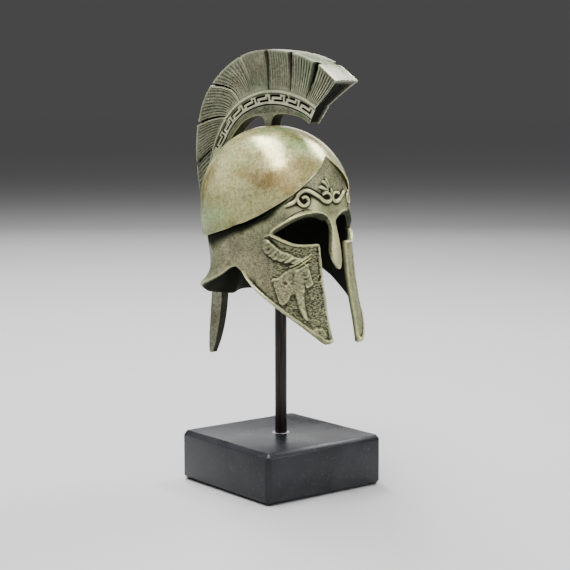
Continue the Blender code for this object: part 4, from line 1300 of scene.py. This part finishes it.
def holder_levels():
    foot, ridge = crest_at[:, FOOT], crest_at[:, RIDGE]
    height = np.linalg.norm(ridge - foot, axis=1)
    scale = np.minimum(1.0, height / FULL_HEIGHT)
    flesh = clamp((TAIL_START - station_t) / 1.5)      # 1 on the fan, 0 on the tail
    none = np.zeros(STATIONS)
    line_top = (BEAD_WIDTH + BAND_WIDTH) * scale
    line_low = (BEAD_WIDTH + BAND_WIDTH + LINE_WIDTH) * scale
    parts = (("holder", HOLDER_LEVELS, height, line_low), ("line", LINE_LEVELS, line_low, line_top),
             ("band", BAND_LEVELS, line_top, BEAD_WIDTH * scale),
             ("bead", BEAD_LEVELS, BEAD_WIDTH * scale, none))
    levels = []
    for part, count, start, end in parts:
        for k in range(count):
            share = k / count
            down = start + (end - start) * share
            at = ridge + (foot - ridge) * (down / height)[:, None]
            widening = (crest_at[:, HALF_FOOT] - crest_at[:, HALF_RIDGE]) * down / height
            half = crest_at[:, HALF_RIDGE] + widening
            rise, dark, light = none, none + 0.08, none + 0.16
            if part == "holder":
                rise = none - 0.45 * max(0.0, 1.0 - k / 2.0) ** 2
                light = none + 0.6 * max(0.0, 1.0 - k / 1.5)
            elif part == "line":
                # The sunk line is painted dark as the shade under the band.
                rise, dark = none - 0.4 * sin(pi * share), none + min(0.95, 2.2 * sin(pi * share))
            elif part == "band":
                groove = key_groove(at[:, 0], at[:, 1], none + share)
                over = knot * max(0.0, share - 0.15) / 0.85
                rise = 0.15 - KEY_SINK * groove * (1.0 - over) + 0.4 * over
                dark, light = groove * (1.0 - over), np.maximum(0.95 * (1.0 - groove), over)
            elif part == "bead":
                # The bead is darker along its lower side and carries a painted highlight just above
                # its middle.
                rise = 0.5 * round_back(abs(2.0 * share - 1.0)) * scale + 0.35 * knot
                dark = none + 0.6 * max(0.0, 1.0 - 3.0 * share)
                light = np.maximum(min(1.0, 1.5 * max(0.0, 1.0 - abs(share - 0.62) / 0.38)), knot)
            levels.append((at, half + rise * flesh, dark * flesh, light * flesh))
    return levels


print("levels below the hair", HOLDER_LEVELS + LINE_LEVELS + BAND_LEVELS + BEAD_LEVELS)

# %% [markdown]
# The hair fans out from the ridge. A gap sinks what lies near it, and each strand of a tuft is
# one half wave high. The outer edge is rubbed pale.


# %% Levels of the hair
def hair_levels():
    ridge, outer = crest_at[:, RIDGE], crest_at[:, OUTER]
    tangent = np.gradient(outer, axis=0)
    tangent /= np.linalg.norm(tangent, axis=1, keepdims=True) + 1e-9
    flesh = clamp((TAIL_START + 0.3 - station_t) / 1.0)
    count, depth, line_dark, lock = strand_rows.T
    levels = []
    for k in range(HAIR_LEVELS + 1):
        v = k / HAIR_LEVELS
        bow = (4.82 * v * (1.0 - v) ** 1.3 * crest_at[:, BOW])[:, None]
        at = ridge + (outer - ridge) * v - tangent * bow
        half = crest_at[:, HALF_RIDGE] + (crest_at[:, HALF_OUTER] - crest_at[:, HALF_RIDGE]) * v ** 1.7
        width = GAP_ROOT_HALF + (gap_half - GAP_ROOT_HALF) * v ** 0.6
        cleft = clamp(2.2 * (1.0 - gap_away / width)) * ramp(v, -0.02, 0.10)
        share = (even - tuft_starts - lock) / (tuft_ends - tuft_starts - lock)
        on_strands = (share > 0.0) * 1.0
        strand = np.abs(np.sin(pi * share * count)) ** 0.7
        fade = ramp(v, 0.0, 0.12) * ramp(v, 0.98, 0.88) * on_strands * (1.0 - cleft)
        soft = np.where((tuft_of > 0) & (tuft_of < 5), ramp(v, 0.0, 0.55), 1.0)
        worn = 0.75 + 0.45 * grain(share * count * 0.6, np.full(STATIONS, 5.0 * v), 1.0, 6)
        root = -0.45 * np.exp(-(v / 0.04) ** 2) * flesh
        lock_rise = 0.25 * (lock > 0) * (1.0 - on_strands)
        rise = root + depth * (strand - 0.75) * fade + lock_rise * (1.0 - cleft)
        sink = np.minimum(GAP_DEPTH, 0.5 * half) * cleft * flesh * np.where(gap_dark > 0, 1.0, 0.25)
        # Dark: lines between the strands, painted shade in the gaps, a painted shadow at the root, and
        # painted shade on the low back tufts.
        dark = np.maximum(ramp(strand, 0.80, 0.35) * line_dark * fade * soft * worn,
                          np.minimum(1.0, 1.6 * cleft) * gap_dark * flesh)
        dark = np.maximum(dark, 0.25 * np.exp(-(v / 0.04) ** 2) * flesh)
        dark = np.maximum(dark, LOW_BACK_DARK * ramp(tuft_of, 4.0, 6.5) * flesh)
        # Pale: strand crests and plain locks; a gap without shade gets a painted highlight instead,
        # and so does the root next to the bead.
        light = np.maximum(1.3 * depth * ramp(strand, 0.8, 1.0) * fade * worn,
                           np.maximum(cleft * (gap_dark == 0), lock_rise * 3.0) * flesh)
        light = np.maximum(light, 0.35 * ramp(v, 0.14, 0.02) * (1.0 - cleft) * flesh)
        light = np.maximum(light, 0.10 * (tuft_of == 3))
        edge = ramp(v, 0.93, 1.0) * (1.0 - cleft)
        levels.append((at, half + rise - sink, clamp(dark * (1.0 - 0.6 * edge)),
                       clamp(np.maximum(light, 0.7 * edge))))
    return levels


# %% [markdown]
# A grid is wrapped round the levels as a tube. Its first and last stations are repeated with
# their width drawn in to nothing, which closes the two ends; the front end is slightly hollow.

# %% Rings of the crest
STUB_FRONT, STUB_BACK, STUB_FLARE = 2.9, 7.2, 4.0
CROWN_TOP = DOME_Z + DOME_RISE
UNDERSIDE_AT = (0.93, 0.35, -0.35, -0.93)    # places across the underside, its edges kept narrow
CAP = ((0.93, 0.0), (0.84, 0.7), (0.60, 1.0), (0.30, 1.0), (0.0, 1.0))   # width share, hollow in mm


def stub_drop(y, z):
    """How far the holder's underside reaches down: the stub with its two quarter-round flares."""
    beside = np.maximum(np.maximum(STUB_FRONT - y, y - STUB_BACK), 0.0)
    return (z - CROWN_TOP - 0.1) * (1.0 - round_back(1.0 - beside / STUB_FLARE))


def crest_rings():
    """Points, dark (wax, painted shade) and pale (wear, painted highlights) of every ring, in order
    round the crest's section.
    """
    levels = holder_levels() + hair_levels()
    side = len(levels)
    ring = 2 * side + 2 * TOP_LEVELS
    where = np.zeros((STATIONS, ring, 3))
    dark, light = np.zeros((STATIONS, ring)), np.zeros((STATIONS, ring))
    for k, (at, half, recess, rubbed) in enumerate(levels):
        for place, sign in ((k, -1.0), (2 * side + TOP_LEVELS - 1 - k, 1.0)):
            where[:, place] = np.stack([sign * half, at[:, 0], at[:, 1]], axis=1)
            dark[:, place], light[:, place] = recess, rubbed
    (top_at, top_half), (low_at, low_half) = levels[-1][:2], levels[0][:2]
    for k in range(TOP_LEVELS):
        a = -1.0 + 2.0 * (k + 1.0) / (TOP_LEVELS + 1.0)
        crown = 0.35 * (1.0 - a * a)
        where[:, side + k] = np.stack([a * top_half, top_at[:, 0], top_at[:, 1] + crown], axis=1)
        under = UNDERSIDE_AT[k] * low_half
        where[:, 2 * side + TOP_LEVELS + k] = np.stack([under, low_at[:, 0], low_at[:, 1]], axis=1)
        # The flat top gets a painted highlight, strongest at the front.
        light[:, side + k] = 0.26 - 0.14 * clamp((station_t - 3.0) / 6.0)
    # Painted shade: on the stub's sides where they drop to the crown, and all along the underside.
    drop = stub_drop(low_at[:, 0], low_at[:, 1])
    for place in (0, 2 * side + TOP_LEVELS - 1):
        where[:, place, 2] -= drop
        dark[:, place] = np.maximum(dark[:, place], 0.35 * ramp(drop, 0.2, 1.5))
        light[:, place] *= 1.0 - 0.9 * ramp(drop, 0.2, 1.5)
    for place in range(2 * side + TOP_LEVELS, ring):
        where[:, place, 2] -= drop
        in_shade = np.where(station_t > TAIL_START, 0.82, 0.90)
        dark[:, place] = np.maximum(dark[:, place], in_shade)
    return where, dark, light, side


print("holder reaches down to the crown between y %.1f and %.1f mm" % (STUB_FRONT, STUB_BACK))

# %% [markdown]
# The grid's last row of points falls on its first one, where the tube closes, and welding joins
# the two rows.

# %% Wrap the crest
RING_WELD = 0.002 * MM


def capped(where, dark, light, side):
    """Adds the closing rings at both ends."""
    none = np.zeros(where.shape[1])
    from_rim = none.copy()
    level = np.arange(side)
    from_rim[:side] = clamp(np.minimum(level, side - 1 - level) / 3.0)
    from_rim[side + TOP_LEVELS:2 * side + TOP_LEVELS] = from_rim[:side][::-1]
    inward = where[3] - where[0]
    inward /= np.linalg.norm(inward, axis=1, keepdims=True)
    front, back = [], []
    # The front end face is painted dark as shade towards its middle, and its rim gets a painted
    # highlight.
    for width, hollow in CAP:
        narrow = np.array((width, 1.0, 1.0))
        front.append((where[0] * narrow + inward * (hollow * from_rim)[:, None],
                      clamp(hollow * from_rim), none + 0.6 * (hollow == 0)))
        back.append((where[-1] * narrow, none, none + 0.3))
    rings = list(reversed(front)) + list(zip(where, dark, light)) + back
    return [np.array([row[k] for row in rings]) for k in range(3)]


def build_crest():
    where, dark, light = capped(*crest_rings())
    count, ring = where.shape[:2]
    crest, station, row = flat_grid("crest_casting", count, ring + 1)
    place = row % ring
    set_points(crest, where[station, place] * MM)
    store(crest, recess=dark[station, place], rubbed=light[station, place])
    outward(crest, RING_WELD)
    return crest


crest = build_crest()
finish_piece(crest, CREST_BRONZE, "crest", "crest", smooth=40)

# %% [markdown]
# ## Rod and base
# The rod is plain round iron with a drawn, streaky skin. The base is honed dark stone with sawn
# chamfers, drilled from above, with small pale chips where the drill broke the surface.

# %% Iron and stone
BASE_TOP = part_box("stone_base")[1][2]
ROD_LOW, ROD_HIGH = (np.array(c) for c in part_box("support_rod"))


def build_iron():
    mat, tree, shader = new_material("drawn_iron")
    place = texture_place(tree)
    streak = noise(tree, mapped(tree, place, Scale=(900.0, 900.0, 35.0)), 1.0, 4.0, 0.6)
    rust = noise(tree, place, 160.0, 4.0, 0.6)
    # Inside the helmet the rod is painted near black and rougher, as shade.
    hidden = remap(tree, axes(tree, place)["Z"], 98.0 * MM, 112.0 * MM)    # inside the helmet
    colour = (0.010, 0.008, 0.007, 1)
    for share, over in ((remap(tree, streak, 0.35, 0.65), (0.040, 0.034, 0.030, 1)),
                        (remap(tree, rust, 0.55, 0.75, 0.0, 0.6), (0.050, 0.030, 0.018, 1)),
                        (hidden, (0.002, 0.002, 0.002, 1))):
        colour = blend(tree, share, colour, over)
    rough = plus(tree, remap(tree, streak, 0.3, 0.7, 0.30, 0.48), times(tree, hidden, 0.4))
    plug(tree, shader, {"Base Color": colour, "Metallic": 0.75, "Roughness": rough,
                        "Normal": bump(tree, streak, 0.4, 0.1 * MM)})
    return mat


def build_stone():
    mat, tree, shader = new_material("honed_stone")
    place = texture_place(tree)
    cloud = noise(tree, place, 45.0, 4.0, 0.6, 0.4)
    fine = noise(tree, place, 700.0, 4.0, 0.65)
    axis = axes(tree, place)
    flat = plug(tree, add_node(tree, "ShaderNodeCombineXYZ"), {"X": axis["X"], "Y": axis["Y"]})
    radius = plug(tree, add_node(tree, "ShaderNodeVectorMath", operation='LENGTH'),
                  {0: flat.outputs[0]}).outputs["Value"]
    ring = remap(tree, radius, 5.8 * MM, 3.6 * MM)
    broken = remap(tree, times(tree, ring, noise(tree, place, 420.0, 3.0, 0.6)), 0.30, 0.42)
    colour = (0.007, 0.008, 0.010, 1)
    for share, over in ((remap(tree, cloud, 0.35, 0.70), (0.019, 0.021, 0.025, 1)),
                        (remap(tree, fine, 0.55, 0.75, 0.0, 0.3), (0.12, 0.125, 0.13, 1)),
                        (broken, (0.55, 0.55, 0.55, 1))):
        colour = blend(tree, share, colour, over)
    plug(tree, shader, {"Base Color": colour, "Roughness": remap(tree, cloud, 0.3, 0.7, 0.26, 0.36),
                        "Specular IOR Level": 0.32, "Normal": bump(tree, fine, 0.25, 0.1 * MM)})
    return mat


IRON, STONE = build_iron(), build_stone()
print("materials", IRON.name, STONE.name)

# %% [markdown]
# The rod is a cylinder with soft ends. The block is a cube with chamfers, turned a little, and a
# Boolean drills it: a plain round hole in a flat face is what that modifier does well.

# %% Model the rod and the base
ROD_SOFTENING = 0.4 * MM
BASE_SIDE, BASE_TURN, BASE_BEVEL, BASE_ARRIS = 72.0 * MM, radians(-12.3), 2.2 * MM, 0.25 * MM
HOLE_RADIUS, HOLE_DEPTH = 3.25 * MM, 10.0 * MM


def apply_modifiers(obj):
    select_only(obj)
    for modifier in list(obj.modifiers):
        bpy.ops.object.modifier_apply(modifier=modifier.name)


def build_rod():
    radius = 0.5 * (ROD_HIGH[0] - ROD_LOW[0])
    bpy.ops.object.select_all(action='DESELECT')
    bpy.ops.mesh.primitive_cylinder_add(vertices=64, radius=radius, depth=ROD_HIGH[2] - ROD_LOW[2],
                                        location=(0, 0, 0.5 * (ROD_HIGH[2] + ROD_LOW[2])))
    rod = added("iron_rod")
    bevel = rod.modifiers.new("soft ends", 'BEVEL')
    bevel.width, bevel.segments, bevel.limit_method = ROD_SOFTENING, 3, 'ANGLE'
    apply_modifiers(rod)
    return rod


def build_base():
    bpy.ops.object.select_all(action='DESELECT')
    bpy.ops.mesh.primitive_cube_add(size=1.0, location=(0, 0, 0.5 * BASE_TOP),
                                    rotation=(0, 0, BASE_TURN), scale=(BASE_SIDE, BASE_SIDE, BASE_TOP))
    base = added("stone_block")
    chamfer = base.modifiers.new("sawn chamfer", 'BEVEL')
    chamfer.width, chamfer.segments = BASE_BEVEL, 1
    soften = base.modifiers.new("honed arris", 'BEVEL')
    soften.width, soften.segments, soften.limit_method = BASE_ARRIS, 2, 'ANGLE'
    soften.angle_limit = radians(20)
    apply_modifiers(base)
    bpy.ops.object.select_all(action='DESELECT')
    bpy.ops.mesh.primitive_cylinder_add(vertices=64, radius=HOLE_RADIUS, depth=2 * HOLE_DEPTH,
                                        location=(0, 0, BASE_TOP))
    drill = added("drill")
    hole = base.modifiers.new("rod hole", 'BOOLEAN')
    hole.operation, hole.object, hole.solver = 'DIFFERENCE', drill, 'EXACT'
    apply_modifiers(base)
    bpy.data.objects.remove(drill, do_unlink=True)
    return base


rod, base = build_rod(), build_base()
finish_piece(rod, IRON, "support_rod", "support_rod")
finish_piece(base, STONE, "stone_base", "stone_base", smooth=25)

# %% [markdown]
# ## Floor, light and camera
# A plain pale floor, and soft light from large panels: a strip overhead, two panels beside the
# helmet, and weak ones that lift the shadows. The sky is a little brighter above than below.

# %% Floor and light
FLOOR_COLOUR = (0.52, 0.52, 0.52, 1.0)


def build_floor():
    bpy.ops.object.select_all(action='DESELECT')
    bpy.ops.mesh.primitive_plane_add(size=30.0, location=(0, 0, 0))
    floor = added("floor")
    mat, tree, shader = new_material("pale_floor")
    plug(tree, shader, {"Base Color": FLOOR_COLOUR, "Roughness": 0.6})
    floor.data.materials.append(mat)
    floor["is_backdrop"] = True
    return floor


HELMET_MIDDLE = Vector((0.0, 0.0, 0.14))


def panel(name, direction, distance, size, power, long_axis=(0.0, 0.0, 1.0)):
    """A soft light in a direction from the helmet, its longer side along an axis."""
    light = bpy.data.lights.new(name, 'AREA')
    light.shape, light.size, light.size_y = 'RECTANGLE', size[0], size[1]
    light.energy = power
    obj = bpy.data.objects.new(name, light)
    bpy.context.scene.collection.objects.link(obj)
    away = Vector(direction).normalized()
    along = Vector(long_axis) - away * away.dot(Vector(long_axis))
    along.normalize()
    turned = Matrix((along, away.cross(along), away)).transposed().to_4x4()
    obj.matrix_world = Matrix.Translation(HELMET_MIDDLE + away * distance) @ turned
    return obj


build_floor()
panel("overhead_strip", (-0.06, 0.27, 1.0), 1.0, (1.9, 0.32), 38.0, (0.75, 0.66, -0.1))
panel("right_panel", (0.68, -0.12, 0.73), 0.9, (0.22, 0.42), 6.0)
panel("left_panel", (-0.48, 0.78, 0.50), 1.3, (1.15, 1.5), 3.9)
panel("camera_side_fill", (-0.62, -0.52, 0.60), 1.2, (0.9, 0.8), 3.2)
panel("front_panel", (0.25, -0.95, 0.35), 0.9, (0.4, 0.4), 3.5)
panel("low_back_panel", (0.77, 0.64, 0.27), 1.5, (1.3, 0.35), 2.8, (0.64, -0.77, 0.0))

world = bpy.data.worlds.new("studio")
bpy.context.scene.world = world
world.use_nodes = True
sky = world.node_tree
sky.nodes["Background"].inputs["Color"].default_value = (0.62, 0.61, 0.62, 1.0)
sky_height = axes(sky, texture_place(sky, "Generated"))["Z"]
plug(sky, sky.nodes["Background"], {"Strength": remap(sky, sky_height, 0.05, 0.45, 0.115, 0.20)})
print("lights", len(bpy.data.lights))

# %% [markdown]
# The camera stands off the wearer's right front corner, a little above the helmet's middle. It
# looks slightly down through a long lens, and is rolled by less than a tenth of a degree.

# %% Camera
CAMERA_TURN, CAMERA_LIFT, CAMERA_ROLL = radians(-50.5), radians(6.85), radians(-0.08)
CAMERA_PLACE = (-0.5707, -0.4732, 0.1889)


def build_camera():
    data = bpy.data.cameras.new("camera")
    data.sensor_width, data.lens = 36.0, 94.74
    data.clip_start, data.clip_end = 0.05, 20.0
    camera = bpy.data.objects.new("camera", data)
    bpy.context.scene.collection.objects.link(camera)
    right = Vector((cos(CAMERA_TURN), sin(CAMERA_TURN), 0.0))
    back = Vector((sin(CAMERA_TURN) * cos(CAMERA_LIFT), -cos(CAMERA_TURN) * cos(CAMERA_LIFT),
                   sin(CAMERA_LIFT)))
    up = back.cross(right)
    across = right * cos(CAMERA_ROLL) + up * sin(CAMERA_ROLL)
    upward = up * cos(CAMERA_ROLL) - right * sin(CAMERA_ROLL)
    camera.matrix_world = Matrix.Translation(CAMERA_PLACE) @ Matrix(
        (across, upward, back)).transposed().to_4x4()
    bpy.context.scene.camera = camera
    return camera


build_camera()

# %% [markdown]
# The outer boxes of the solids and of this model are printed.

# %% Sizes and finish
MODEL_BOX = [list(corner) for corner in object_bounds()]
print("size in mm", [[round(v / MM, 1) for v in corner] for corner in MODEL_BOX])
